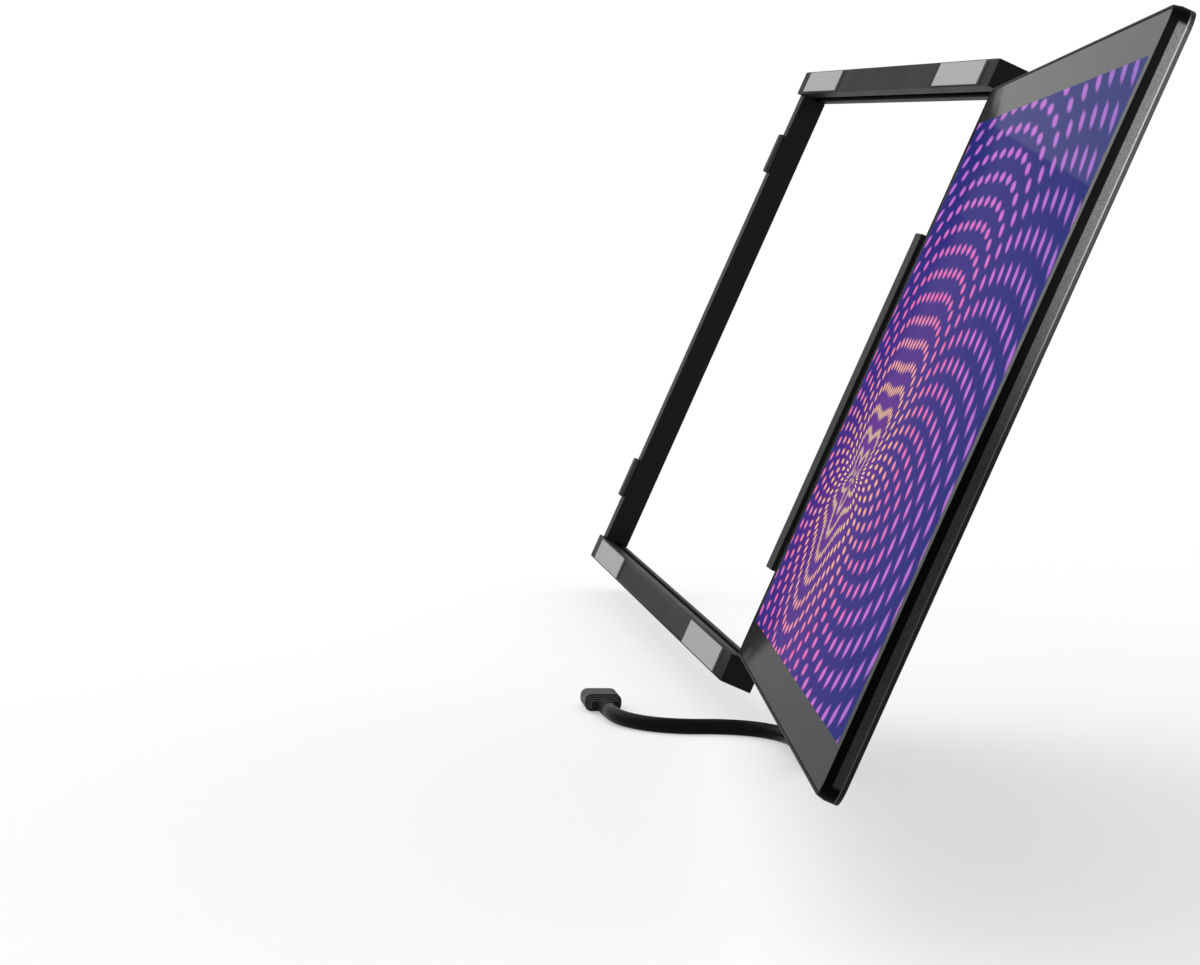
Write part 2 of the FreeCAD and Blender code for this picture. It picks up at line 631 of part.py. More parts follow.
button_xs = [bulge_x1 - size.button_from_right - size.button_pitch * step for step in (0, 1, 2)]
cap_radii = [size.power_radius, size.key_radius, size.key_radius]
flange_back = bulge_inner - size.button_clearance / 2
flange_front = flange_back - size.flange_depth
switch_back = flange_front - size.button_travel - size.button_clearance
button_board_back = switch_back - size.switch_depth
button_board_front = button_board_back - size.board_thickness
button_bosses = [((button_xs[i] + button_xs[i + 1]) / 2, size.button_level) for i in (0, 1)]
pad(back_cover, "XZ", button_board_back, bulge_inner, discs(size.boss_radius, button_bosses))
for x, radius in zip(button_xs, cap_radii):
    pocket(back_cover, "XZ", bulge_inner, bulge_back,
           discs(radius + size.button_clearance, [(x, size.button_level)]))
shell_width = size.port_mouth_width + size.port_shell * 2
shell_depth = size.port_mouth_depth + size.port_shell * 2
port_corner = shell_depth / 2 - size.straight_left
for x in ports:
    pocket(back_cover, "XY", bulge_z0, bulge_z0 + wall,
           lambda draw: draw.box(x - shell_width / 2, x + shell_width / 2,
                                 port_level - shell_depth / 2, port_level + shell_depth / 2, port_corner))
pocket(back_cover, "XZ", board_back, bulge_inner - size.boss_floor, discs(hole_radius, board_bosses))
pocket(back_cover, "XZ", button_board_back, bulge_inner - size.boss_floor, discs(hole_radius, button_bosses))

board = plate("controller_board", screen_home, (board_x0, board_x1, board_z0, board_z1), board_front, board_back)
for x in ports:
    pocket(board, "XZ", board_front, board_back,
           boxes((x - shell_width / 2 - size.board_notch, x + shell_width / 2 + size.board_notch,
                  board_z0, bulge_z0 + size.port_length)))
pocket(board, "XZ", board_front, board_back, discs(hole_radius, board_bosses))
screws("board_screws", screen_home, board_bosses, board_front, bulge_inner - size.boss_floor,
       head_towards_back=False)

sockets = new_body("usb_c_sockets", screen_home)
tongue_back = port_level + size.socket_tongue_depth / 2
for x in ports:
    pad(sockets, "XY", bulge_z0, bulge_z0 + size.port_length,
        lambda draw: draw.box(x - shell_width / 2, x + shell_width / 2,
                              port_level - shell_depth / 2, port_level + shell_depth / 2, port_corner))
for x in ports:
    half_mouth = size.port_mouth_width / 2
    pocket(sockets, "XY", bulge_z0, bulge_z0 + size.port_length - size.socket_floor,
           lambda draw: draw.box(x - half_mouth, x + half_mouth, port_level - size.port_mouth_depth / 2,
                                 port_level + size.port_mouth_depth / 2, port_corner - size.port_shell))
for x in ports:
    pad(sockets, "XY", bulge_z0 + size.socket_tongue_start, bulge_z0 + size.port_length - size.socket_floor / 2,
        boxes((x - size.socket_tongue_width / 2, x + size.socket_tongue_width / 2,
               port_level - size.socket_tongue_depth / 2, tongue_back)))

# Scaler, memory, power stage, coil and panel connector, each as its place from the board's
# left edge, its place from the lower edge, its width, height and depth.
CONNECTOR = (42, 5, 26, 3, 1.1)
CHIPS = [
    (52, 20, 14, 14, 1.0),
    (72, 22, 10, 8, 0.9),
    (20, 24, 7, 7, 1.2),
    (34, 24, 6, 6, 2.2),
    CONNECTOR,
]
chips = new_body("board_chips", screen_home)
for from_left, from_low, chip_width, chip_height, chip_depth in CHIPS:
    x, z = board_x0 + from_left, board_z0 + from_low
    pad(chips, "XZ", board_front - chip_depth, board_front, boxes((x, x + chip_width, z, z + chip_height)))

button_edge = size.button_pitch / 2 - size.button_board_trim
button_board = plate("button_board", screen_home,
                     (button_xs[2] - button_edge, button_xs[0] + button_edge,
                      size.button_level - button_edge, size.button_level + button_edge),
                     button_board_front, button_board_back)
pocket(button_board, "XZ", button_board_front, button_board_back, discs(hole_radius, button_bosses))
screws("button_board_screws", screen_home, button_bosses, button_board_front, bulge_inner - size.boss_floor,
       head_towards_back=False)
switches = new_body("button_switches", screen_home)
for x in button_xs:
    half_switch = size.key_radius
    pad(switches, "XZ", button_board_back, switch_back,
        boxes((x - half_switch, x + half_switch, size.button_level - half_switch, size.button_level + half_switch)))

# Flat cables: one to the panel along the tray, one to the button board.
connector_left, connector_low, connector_width, connector_height, connector_depth = CONNECTOR
ribbon_x = board_x0 + connector_left + connector_width / 2
ribbon_low = -tray_half_height + size.ribbon_tail
ribbon_turn = hollow[2] + connector_height
ribbon_top = board_z0 + connector_low
tray_gap = (tray_back + rim_back) / 2
sheet_of = size.ribbon_sheet
ribbon_end = board_front - connector_depth
ribbon = new_body("panel_ribbon", screen_home)
pad(ribbon, "YZ", ribbon_x - size.ribbon_width / 2, ribbon_x + size.ribbon_width / 2,
    lambda draw: draw.corners([
        (tray_back, ribbon_low),
        (tray_gap, ribbon_low),
        (tray_gap, ribbon_turn),
        (ribbon_end, ribbon_top - size.ribbon_bend),
        (ribbon_end, ribbon_top + size.ribbon_lap),
        (ribbon_end - sheet_of, ribbon_top + size.ribbon_lap),
        (ribbon_end - sheet_of, ribbon_top - size.ribbon_bend + sheet_of / 2),
        (tray_gap - sheet_of, ribbon_turn + sheet_of / 2),
        (tray_gap - sheet_of, ribbon_low + size.ribbon_tail),
        (tray_back, ribbon_low + size.ribbon_tail),
    ]))
button_ribbon = new_body("button_ribbon", screen_home)
button_board_left = button_xs[2] - button_edge
half_ribbon = size.button_ribbon_width / 2
pad(button_ribbon, "XZ", board_front, board_front + sheet_of,
    lambda draw: draw.corners([
        (board_x1 - half_ribbon * 2, board_z1),
        (board_x1, board_z1),
        (board_x1, size.button_level - half_ribbon),
        (button_board_left, size.button_level - half_ribbon),
        (button_board_left, size.button_level + half_ribbon),
        (board_x1 - half_ribbon * 2, size.button_level + half_ribbon),
    ]))

# Moving hinge leaves on the back cover, their bushes and screws.
moving_leaves = new_body("screen_hinge_leaves", screen_home)
moving_back = cover_back + size.leaf_sheet
plate_left = axis_x + size.hinge_from_edge + size.leaf_sheet
web_left = axis_x + size.leaf_sheet
for level in hinge_levels:
    low, high = level + size.knuckle_gap / 2, level + half_leaf
    pad(moving_leaves, "XZ", cover_back, moving_back,
        boxes((plate_left, axis_x + size.screen_leaf_reach, level - half_leaf, level + half_leaf)))
    pad(moving_leaves, "XZ", cover_back, moving_back, boxes((web_left, plate_left, low, high)))
    pad(moving_leaves, "XZ", cover_back, axis_y, boxes((web_left, web_left + size.leaf_sheet, low, high)))
    pad(moving_leaves, "XY", low, high, discs(size.knuckle_radius, axis_place))
bush_inner = size.pin_radius + size.pin_clearance
bush_outer = bush_inner + size.bush_wall
for level in hinge_levels:
    pocket(moving_leaves, "XY", level, level + half_leaf, discs(bush_outer, axis_place))
moving_screw_x = screen_left + size.leaf_screw_edge
moving_screws = [(moving_screw_x, level + step) for level in hinge_levels
                 for step in (-size.leaf_screw_step, 0, size.leaf_screw_step)]
moving_tip = glass_back + size.leaf_sheet
pocket(moving_leaves, "XZ", cover_back, moving_back, discs(hole_radius, moving_screws))
pocket(back_cover, "XZ", rim_back, cover_back, discs(hole_radius, moving_screws))
pocket(rim, "XZ", moving_tip, rim_back, discs(hole_radius, moving_screws))
screws("screen_leaf_screws", screen_home, moving_screws, moving_back, moving_tip)

bushes = new_body("friction_bushes", screen_home)
for level in hinge_levels:
    low, high = level + size.knuckle_gap / 2, level + half_leaf
    pad(bushes, "XY", low, high, discs(bush_outer, axis_place))
for level in hinge_levels:
    low, high = level + size.knuckle_gap / 2, level + half_leaf
    pocket(bushes, "XY", low, high, discs(bush_inner, axis_place))

cover_screw_z = size.screen_height / 2 - size.cover_screw_edge
cover_screw_step = (size.screen_width - size.cover_screw_side * 2) / 3
cover_screws = [(screen_left + size.cover_screw_side + cover_screw_step * step, z)
                for step in range(4) for z in (-cover_screw_z, cover_screw_z)]
cover_head_seat = cover_back - size.screw_head
pocket(back_cover, "XZ", cover_head_seat, cover_back, discs(head_room, cover_screws))
pocket(back_cover, "XZ", rim_back, cover_head_seat, discs(hole_radius, cover_screws))
pocket(rim, "XZ", moving_tip, rim_back, discs(hole_radius, cover_screws))
screws("back_cover_screws", screen_home, cover_screws, cover_head_seat, moving_tip)

# Buttons: a cap with a flange that keeps it behind the cover.
for label, x, radius in zip(("power_button", "brightness_up_button", "brightness_down_button"),
                            button_xs, cap_radii):
    cap = new_body(label, screen_home)
    place = [(x, size.button_level)]
    pad(cap, "XZ", flange_front, flange_back, discs(radius + size.button_flange, place))
    pad(cap, "XZ", flange_front, bulge_back + size.button_proud, discs(radius, place))

# Cable with a plug at each end. The screen's plug is drawn in the lid's frame, the other lies on the desk.
overmold_half = (size.overmold_width / 2, size.overmold_depth / 2)
tongue_half = (size.tongue_width / 2, size.tongue_depth / 2)


def make_plug(name, home, x, y, z, outwards):
    """A plug along z with its steel mouth towards outwards (+1 or -1) from the body's face at z."""

    def span(start, end):
        return (z + start, z + end) if outwards > 0 else (z - end, z - start)

    body_made = new_body(name + "_plug", home)
    pad(body_made, "XY", *span(-size.overmold_length, 0),
        lambda draw: draw.box(x - overmold_half[0], x + overmold_half[0], y - overmold_half[1],
                              y + overmold_half[1], size.overmold_corner))
    mouth = new_body(name + "_plug_mouth", home)
    mouth_corner = tongue_half[1] - size.straight_left
    pad(mouth, "XY", *span(0, size.tongue_length),
        lambda draw: draw.box(x - tongue_half[0], x + tongue_half[0], y - tongue_half[1],
                              y + tongue_half[1], mouth_corner))
    inner = size.tongue_wall
    pocket(mouth, "XY", *span(size.tongue_wall, size.tongue_length),
           lambda draw: draw.box(x - tongue_half[0] + inner, x + tongue_half[0] - inner,
                                 y - tongue_half[1] + inner, y + tongue_half[1] - inner, mouth_corner - inner))
    relief = doc.addObject("Part::Cone", name + "_strain_relief")
    relief.Label = name + "_strain_relief"
    relief.setExpression("Radius1", size.relief_radius.text)
    relief.setExpression("Radius2", (size.cable_diameter / 2 + size.relief_tip).text)
    relief.setExpression("Height", size.relief_length.text)
    start = z - size.overmold_length if outwards > 0 else z + size.overmold_length
    facing = FreeCAD.Rotation(FreeCAD.Vector(1, 0, 0), 180 if outwards > 0 else 0)
    base = FreeCAD.Vector(x.value, y.value, start.value)
    pieces.append((relief, home.multiply(FreeCAD.Placement(base, facing))))
    return z - (size.overmold_length + size.relief_length) * outwards


exit_level = make_plug("screen", screen_home, ports[0], port_level, bulge_z0, 1)
cable_exit = screen_home.multVec(FreeCAD.Vector(ports[0].value, port_level.value, exit_level.value))
exit_way = case_home.Rotation.multVec(FreeCAD.Vector(0, 0, -1))

# The free plug lies on the desk and points to the notebook's side, to -X.
free_plug_x, free_plug_y = 122.5, -73.3
plug_rest = -size.desk_drop.value + size.overmold_depth.value / 2
lying = FreeCAD.Rotation(FreeCAD.Vector(0, 1, 0), -90).multiply(FreeCAD.Rotation(FreeCAD.Vector(0, 0, 1), 90))
plug_home = FreeCAD.Placement(FreeCAD.Vector(free_plug_x, free_plug_y, plug_rest), lying)
zero = Size("0", 0.0)
free_end = make_plug("notebook", plug_home, zero, zero, zero, 1)
free_exit = plug_home.multVec(FreeCAD.Vector(0, 0, free_end.value))

# The cable's route, from the screen's strain relief down to the desk and over to the free plug.
ROUTE = [
    (244.909, -28.391, -65.082),
    (244.909, -31.504, -72.451),
    (244.7, -33.2, -82.0),
    (243.5, -31.0, -91.8),
    (239.5, -27.2, -100.4),
    (231.5, -24.6, -106.0),
    (221.0, -24.0, -107.9),
    (208.0, -24.8, -107.9),
    (195.5, -24.0, -107.9),
    (185.5, -27.5, -107.9),
    (178.5, -34.5, -107.9),
    (175.6, -44.0, -107.9),
    (176.0, -53.5, -107.9),
    (172.8, -62.5, -107.9),
    (166.0, -69.3, -107.8),
    (157.0, -73.3, -107.55),
    (148.5, -73.3, -107.55),
]


def rounded(points, share=0.45):
    """Straight runs joined by tangent arcs, each as large as its two runs allow."""
    edges = []
    radii = []
    at = points[0]
    for before, corner, after in zip(points, points[1:], points[2:]):
        way_in = (corner - before).normalize()
        way_out = (after - corner).normalize()
        half_turn = way_in.getAngle(way_out) / 2
        shorter = min((corner - before).Length, (after - corner).Length)
        reach = share * shorter
        radius = reach / math.tan(half_turn)
        radii.append(radius)
        arc_start = corner - way_in * reach
        arc_end = corner + way_out * reach
        inward = (way_out - way_in).normalize()
        middle = corner + inward * (radius / math.cos(half_turn) - radius)
        edges.append(Part.LineSegment(at, arc_start).toShape())
        edges.append(Part.Arc(arc_start, middle, arc_end).toShape())
        at = arc_end
    edges.append(Part.LineSegment(at, points[-1]).toShape())
    return Part.Wire(edges), radii


route = [FreeCAD.Vector(*point) for point in ROUTE]
print("cable exit %s, route starts %s" % (cable_exit, route[0]))
print("free plug exit %s, route ends %s" % (free_exit, route[-1]))
path, bend_radii = rounded(route)
print("bend radii", [round(radius, 1) for radius in bend_radii])
section = Part.Wire([Part.makeCircle(size.cable_diameter.value / 2, route[0], route[1] - route[0])])
tube = path.makePipeShell([section], True, False)
expected = math.pi * size.cable_diameter.value ** 2 / 4 * path.Length
print("cable length %.1f, volume %.1f against %.1f" % (path.Length, tube.Volume, expected))
cable = doc.addObject("Part::Feature", "signal_cable")
cable.Label = "signal_cable"
cable.Shape = tube
pieces.append((cable, FreeCAD.Placement()))

doc.recompute()
for made, home in pieces:
    made.Placement = home
doc.recompute()

faults = []
for item in doc.Objects:
    if "Invalid" in item.State or "Error" in item.State:
        faults.append("%s is %s" % (item.Label, item.State))
for made, home in pieces:
    if made.Shape.isNull() or not made.Shape.isValid() or made.Shape.Volume <= 0:
        faults.append("%s has no sound shape" % made.Label)
if faults:
    raise SystemExit("not written:\n" + "\n".join(faults))

os.makedirs("parts", exist_ok=True)
for made, home in pieces:
    made.Shape.exportStep("parts/%s.step" % made.Label)
print("%d pieces, %d solids" % (len(pieces), sum(len(made.Shape.Solids) for made, home in pieces)))
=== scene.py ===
import math

import bmesh
import bpy
from mathutils import Matrix, Vector


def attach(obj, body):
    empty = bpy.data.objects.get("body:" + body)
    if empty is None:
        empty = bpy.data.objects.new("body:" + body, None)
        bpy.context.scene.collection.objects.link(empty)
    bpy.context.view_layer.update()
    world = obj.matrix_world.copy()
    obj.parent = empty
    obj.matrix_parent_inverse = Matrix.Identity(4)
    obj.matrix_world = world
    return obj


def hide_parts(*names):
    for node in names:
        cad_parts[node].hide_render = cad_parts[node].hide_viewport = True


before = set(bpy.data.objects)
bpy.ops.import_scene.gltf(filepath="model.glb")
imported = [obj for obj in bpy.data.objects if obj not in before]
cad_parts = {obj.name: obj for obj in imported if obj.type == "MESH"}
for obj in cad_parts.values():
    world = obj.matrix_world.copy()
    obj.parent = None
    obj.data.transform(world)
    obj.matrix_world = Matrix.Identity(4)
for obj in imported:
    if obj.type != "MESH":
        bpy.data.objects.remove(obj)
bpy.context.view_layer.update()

# Camera. It stands beyond the screen's outer side, nearly in line with the glass and a little
# above the middle, and looks back along the slide.
CAMERA_PLACE = (1.2031, -0.2185, 0.0706)
CAMERA_YAW, CAMERA_PITCH, CAMERA_ROLL = (math.radians(angle) for angle in (7.593, 5.752, 1.388))
SENSOR_WIDTH, LENS_LENGTH, NEAREST_SEEN = 36.0, 104.136, 0.01
forward = Vector((-math.cos(CAMERA_YAW) * math.cos(CAMERA_PITCH),
                  math.sin(CAMERA_YAW) * math.cos(CAMERA_PITCH),
                  -math.sin(CAMERA_PITCH)))
level_right = forward.cross(Vector((0, 0, 1))).normalized()
level_up = level_right.cross(forward)
camera_right = math.cos(CAMERA_ROLL) * level_right + math.sin(CAMERA_ROLL) * level_up
camera_up = camera_right.cross(forward)
bpy.ops.object.select_all(action="DESELECT")
bpy.ops.object.camera_add(location=CAMERA_PLACE)
camera = bpy.context.object
camera.rotation_euler = Matrix((camera_right, camera_up, -forward)).transposed().to_euler()
camera.data.sensor_fit = "HORIZONTAL"
camera.data.sensor_width = SENSOR_WIDTH
camera.data.lens = LENS_LENGTH
camera.data.clip_start = NEAREST_SEEN
bpy.context.scene.camera = camera

# Signal cable: one round black jacket over the cores, from the plug behind the screen down to the
# ground and round to the free plug. Extruded smooth, with a dull shine.
CABLE_DIAMETER = 0.0048
ROUTE = [
    (0.244909, -0.028391, -0.065082),
    (0.244909, -0.031504, -0.072451),
    (0.2447, -0.0332, -0.0820),
    (0.2435, -0.0310, -0.0918),
    (0.2395, -0.0272, -0.1004),
    (0.2315, -0.0246, -0.1060),
    (0.2210, -0.0240, -0.1079),
    (0.2080, -0.0248, -0.1079),
    (0.1955, -0.0240, -0.1079),
    (0.1855, -0.0275, -0.1079),
    (0.1785, -0.0345, -0.1079),
    (0.1756, -0.0440, -0.1079),
    (0.1760, -0.0535, -0.1079),
    (0.1728, -0.0625, -0.1079),
    (0.1660, -0.0693, -0.1078),
    (0.1570, -0.0733, -0.10755),
    (0.1485, -0.0733, -0.10755),
]
GRAIN_DETAIL, CLOUD_SCALE, CLOUD_DETAIL = 2.0, 42.0, 5.0
NOISE_MIDDLE, NOISE_GAIN = 0.5, 2.0
SKIN_INPUTS = (
    ("Colour", "NodeSocketColor", (0.5, 0.5, 0.5, 1)),
    ("Clouding", "NodeSocketFloat", 0.1),
    ("Flecks", "NodeSocketFloat", 0.1),
    ("Roughness", "NodeSocketFloat", 0.5),
    ("Handling", "NodeSocketFloat", 0.1),
    ("Grain", "NodeSocketFloat", 1000.0),
    ("Stretch", "NodeSocketVector", (1, 1, 1)),
)
SKIN_OUTPUTS = (("Colour", "NodeSocketColor"), ("Roughness", "NodeSocketFloat"),
                ("Height", "NodeSocketFloat"))


def feed(tree, node, inputs):
    """Gives each named input of the node a value, or a link from another node's socket."""
    for name, item in inputs.items():
        if isinstance(item, bpy.types.NodeSocket):
            tree.links.new(item, node.inputs[name])
        else:
            node.inputs[name].default_value = item
    return node


def add_node(tree, kind, inputs, **settings):
    """A new node of that kind with its settings and inputs."""
    node = tree.nodes.new(kind)
    for name, value in settings.items():
        setattr(node, name, value)
    return feed(tree, node, inputs)


def worked(tree, operation, *items):
    """The result of one arithmetic step on numbers or sockets."""
    return add_node(tree, "ShaderNodeMath", dict(enumerate(items)), operation=operation).outputs[0]


def skin_group():
    """Grain, flecks and faint clouds over a surface, from the piece's own coordinates."""
    group = bpy.data.node_groups.new("surface_grain", "ShaderNodeTree")
    for name, kind, value in SKIN_INPUTS:
        group.interface.new_socket(name, in_out="INPUT", socket_type=kind).default_value = value
    for name, kind in SKIN_OUTPUTS:
        group.interface.new_socket(name, in_out="OUTPUT", socket_type=kind)
    given = group.nodes.new("NodeGroupInput").outputs
    place = group.nodes.new("ShaderNodeTexCoord").outputs["Object"]
    stretched = add_node(group, "ShaderNodeVectorMath", {0: place, 1: given["Stretch"]},
                         operation="MULTIPLY").outputs[0]
    grain = add_node(group, "ShaderNodeTexNoise", {
        "Vector": stretched, "Scale": given["Grain"], "Detail": GRAIN_DETAIL}).outputs["Fac"]
    clouds = add_node(group, "ShaderNodeTexNoise", {
        "Vector": place, "Scale": CLOUD_SCALE, "Detail": CLOUD_DETAIL}).outputs["Fac"]
    cloud_swing, grain_swing = (
        worked(group, "MULTIPLY", worked(group, "SUBTRACT", noise, NOISE_MIDDLE), NOISE_GAIN)
        for noise in (clouds, grain))
    mottle = worked(group, "ADD", worked(group, "MULTIPLY", given["Clouding"], cloud_swing),
                    worked(group, "MULTIPLY", given["Flecks"], grain_swing))
    tinted = add_node(group, "ShaderNodeVectorMath", {
        0: given["Colour"], "Scale": worked(group, "ADD", 1.0, mottle)}, operation="SCALE")
    rough = worked(group, "ADD", given["Roughness"],
                   worked(group, "MULTIPLY", given["Handling"], cloud_swing))
    add_node(group, "NodeGroupOutput", {
        "Colour": tinted.outputs[0], "Roughness": rough, "Height": grain})
    return group


SURFACE_GRAIN = skin_group()


def skin(tree, colour, roughness, grain, clouding, flecks, handling, stretch=(1, 1, 1)):
    """The colour, roughness and height of a surface with that grain."""
    return add_node(tree, "ShaderNodeGroup", {
        "Colour": (*colour, 1), "Clouding": clouding, "Flecks": flecks, "Roughness": roughness,
        "Handling": handling, "Grain": grain, "Stretch": stretch,
    }, node_tree=SURFACE_GRAIN, name="grain").outputs


def finish(name, colour, roughness, grain=1500.0, relief=0.15, depth=0.00008, clouding=0.08,
           flecks=0.15, handling=0.06, metallic=0.0, specular=0.5, stretch=(1, 1, 1)):
    """A material with its own grain size, relief, colour clouding and handled patches."""
    made = bpy.data.materials.new(name)
    made.use_nodes = True
    tree = made.node_tree
    surface = skin(tree, colour, roughness, grain, clouding, flecks, handling, stretch)
    bump = add_node(tree, "ShaderNodeBump", {
        "Strength": relief, "Distance": depth, "Height": surface["Height"]})
    feed(tree, tree.nodes["Principled BSDF"], {
        "Base Color": surface["Colour"], "Roughness": surface["Roughness"],
        "Metallic": metallic, "Specular IOR Level": specular, "Normal": bump.outputs["Normal"]})
    return made


cable_line = bpy.data.curves.new("cable", "CURVE")
cable_line.dimensions = "3D"
cable_line.bevel_depth = CABLE_DIAMETER / 2
cable_line.bevel_resolution = 7
cable_line.use_fill_caps = True
spline = cable_line.splines.new("NURBS")
spline.points.add(len(ROUTE) - 1)
for point, place in zip(spline.points, ROUTE):
    point.co = (*place, 1)
spline.order_u = 3
spline.use_endpoint_u = True
spline.resolution_u = 16
cable = bpy.data.objects.new("cable", cable_line)
bpy.context.scene.collection.objects.link(cable)
jacket = finish("cable_jacket", (0.0025, 0.0025, 0.003), 0.3, grain=900, relief=0.05,
                clouding=0.2, specular=0.02)
feed(jacket.node_tree, jacket.node_tree.nodes["Principled BSDF"], {
    "Coat Weight": 0.07, "Coat Roughness": 0.12})
cable_line.materials.append(jacket)
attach(cable, "screen")
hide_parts("signal_cable")

# Plugs of the cable: a flat overmould with rounded sides, moulded round the steel mouth and the
# cable's end. Three grooves near the tail let the fingers grip it, and a tapered sleeve follows.
MILLIMETRES = Matrix.Scale(0.001, 4)
LEAN, TURN = math.radians(-22.9), math.radians(-7.1)
HINGE = Vector((0.161, 0.0132, 0))
CASE = Matrix.Rotation(LEAN, 4, "X")  # from the upright case to its place in the shared frame
SCREEN = (CASE @ Matrix.Translation(HINGE) @ Matrix.Rotation(TURN, 4, "Z")
          @ Matrix.Translation(-HINGE))
ALONG_Y, ALONG_Z, PARALLEL, FACING = 1, 2, 0.99, 0.9
SHARP_ANGLE, SMOOTH_ANGLE, NORMAL_WEIGHT = math.radians(35), math.radians(38), 50
PLUG_WIDTH, PLUG_DEPTH, PLUG_LENGTH, PLUG_CORNER, PLUG_EDGE = 11.6, 5.5, 18.0, 2.2, 0.25
GROOVE_PITCH, GROOVE_WIDTH, GROOVE_DEPTH, GROOVES = 2.0, 0.7, 0.4, 3
SLEEVE_RADIUS, SLEEVE_FOOT, SLEEVE_TIP, SLEEVE_EDGE, SLEEVE_RINGS = 2.7, 1.0, 0.7, 0.08, 3
RING_STEPS = ((0.92, 0.2), (1.0, 0.5), (1.065, 0.2), (1.0, 1.2))  # share of radius, length
SOCKETS, SOCKET_LEVEL, BOX_FOOT = (246.0, 268.0), 9.65, -45.0
FREE_PLUG_PLACE = (0.1225, -0.0733, -0.10755)


def choose(*pieces):
    """Selects these pieces alone and makes the first one active."""
    bpy.ops.object.select_all(action="DESELECT")
    for piece in pieces:
        piece.select_set(True)
    bpy.context.view_layer.objects.active = pieces[0]


def settle(name, scale=(1, 1, 1)):
    """Names the solid just added and applies its place, turn and scale."""
    made = bpy.context.object
    made.name = made.data.name = name
    made.scale = scale
    choose(made)
    bpy.ops.object.transform_apply()
    return made


def slab(name, x0, x1, y0, y1, z0, z1):
    """A block between six faces, in millimetres."""
    bpy.ops.mesh.primitive_cube_add(size=1, location=((x0 + x1) / 2, (y0 + y1) / 2, (z0 + z1) / 2))
    return settle(name, (x1 - x0, y1 - y0, z1 - z0))


def pick(piece, kind, test):
    """Edit mode on piece with only the faces or edges that pass the test selected."""
    choose(piece)
    bpy.ops.object.mode_set(mode="EDIT")
    bpy.ops.mesh.select_mode(type=kind)
    bpy.ops.mesh.select_all(action="DESELECT")
    mesh = bmesh.from_edit_mesh(piece.data)
    for part in (mesh.faces if kind == "FACE" else mesh.edges):
        if test(part):
            part.select_set(True)
    bmesh.update_edit_mesh(piece.data)


def round_edges(piece, radius, segments, test):
    """Rounds the edges that pass the test."""
    pick(piece, "EDGE", test)
    bpy.ops.mesh.bevel(offset=radius, segments=segments, affect="EDGES")
    bpy.ops.object.mode_set(mode="OBJECT")
    return piece


def round_along(piece, axis, radius, segments):
    """Rounds the four long corners that run along axis 0, 1 or 2."""
    def runs_along(edge):
        """True for an edge parallel to the axis."""
        return abs((edge.verts[1].co - edge.verts[0].co).normalized()[axis]) > PARALLEL

    return round_edges(piece, radius, segments, runs_along)


def apply_last(piece, kind, **settings):
    """Adds a modifier of that kind and applies it at once."""
    choose(piece)
    step = piece.modifiers.new("step", kind)
    for name, value in settings.items():
        setattr(step, name, value)
    bpy.ops.object.modifier_apply(modifier=step.name)


def soften(piece, width, segments):
    """Breaks every sharp edge by width and shades the piece smooth up to its corners."""
    apply_last(piece, "BEVEL", width=width, segments=segments, limit_method="ANGLE",
               angle_limit=SHARP_ANGLE, use_clamp_overlap=True, harden_normals=True)
    bpy.ops.object.shade_smooth_by_angle(angle=SMOOTH_ANGLE)
    apply_last(piece, "WEIGHTED_NORMAL", keep_sharp=True, weight=NORMAL_WEIGHT)


def stand(piece, home, material, body, node):
    """Sets a finished piece in its place in the shared frame and gives it to its body."""
    piece.data.transform(home @ MILLIMETRES)
    piece.data.materials.clear()
    piece.data.materials.append(material)
    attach(piece, body)
    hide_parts(node)


def extrude(length):
    """Draws the picked face out along z."""
    bpy.ops.mesh.extrude_region_move(TRANSFORM_OT_translate={"value": (0, 0, length)})


def overmould(name):
    """The plug's body, tail down the z axis from its front face at zero."""
    tail_start = -PLUG_LENGTH + GROOVES * GROOVE_PITCH
    body = slab(name, -PLUG_WIDTH / 2, PLUG_WIDTH / 2, -PLUG_DEPTH / 2, PLUG_DEPTH / 2,
                tail_start, 0)
    round_along(body, ALONG_Z, PLUG_CORNER, 6)
    pick(body, "FACE", lambda face: face.normal.z < -FACING)
    for _ in range(GROOVES):
        bpy.ops.mesh.inset(thickness=GROOVE_DEPTH)
        extrude(-GROOVE_WIDTH)
        bpy.ops.mesh.inset(thickness=GROOVE_DEPTH, use_outset=True)
        extrude(GROOVE_WIDTH - GROOVE_PITCH)
    bpy.ops.object.mode_set(mode="OBJECT")
    soften(body, PLUG_EDGE, 3)
    return body


def sleeve(name):
    """The tapered sleeve behind a plug, with shallow rings, along the z axis from zero."""
    bpy.ops.mesh.primitive_cylinder_add(vertices=40, radius=SLEEVE_RADIUS, depth=SLEEVE_FOOT,
                                        location=(0, 0, SLEEVE_FOOT / 2))
    made = settle(name)
    pick(made, "FACE", lambda face: face.normal.z > FACING)
    for radius_share, length in RING_STEPS * SLEEVE_RINGS:
        extrude(length)
        bpy.ops.transform.resize(value=(radius_share, radius_share, 1))
    extrude(SLEEVE_TIP)
    bpy.ops.object.mode_set(mode="OBJECT")
    soften(made, SLEEVE_EDGE, 2)
    return made


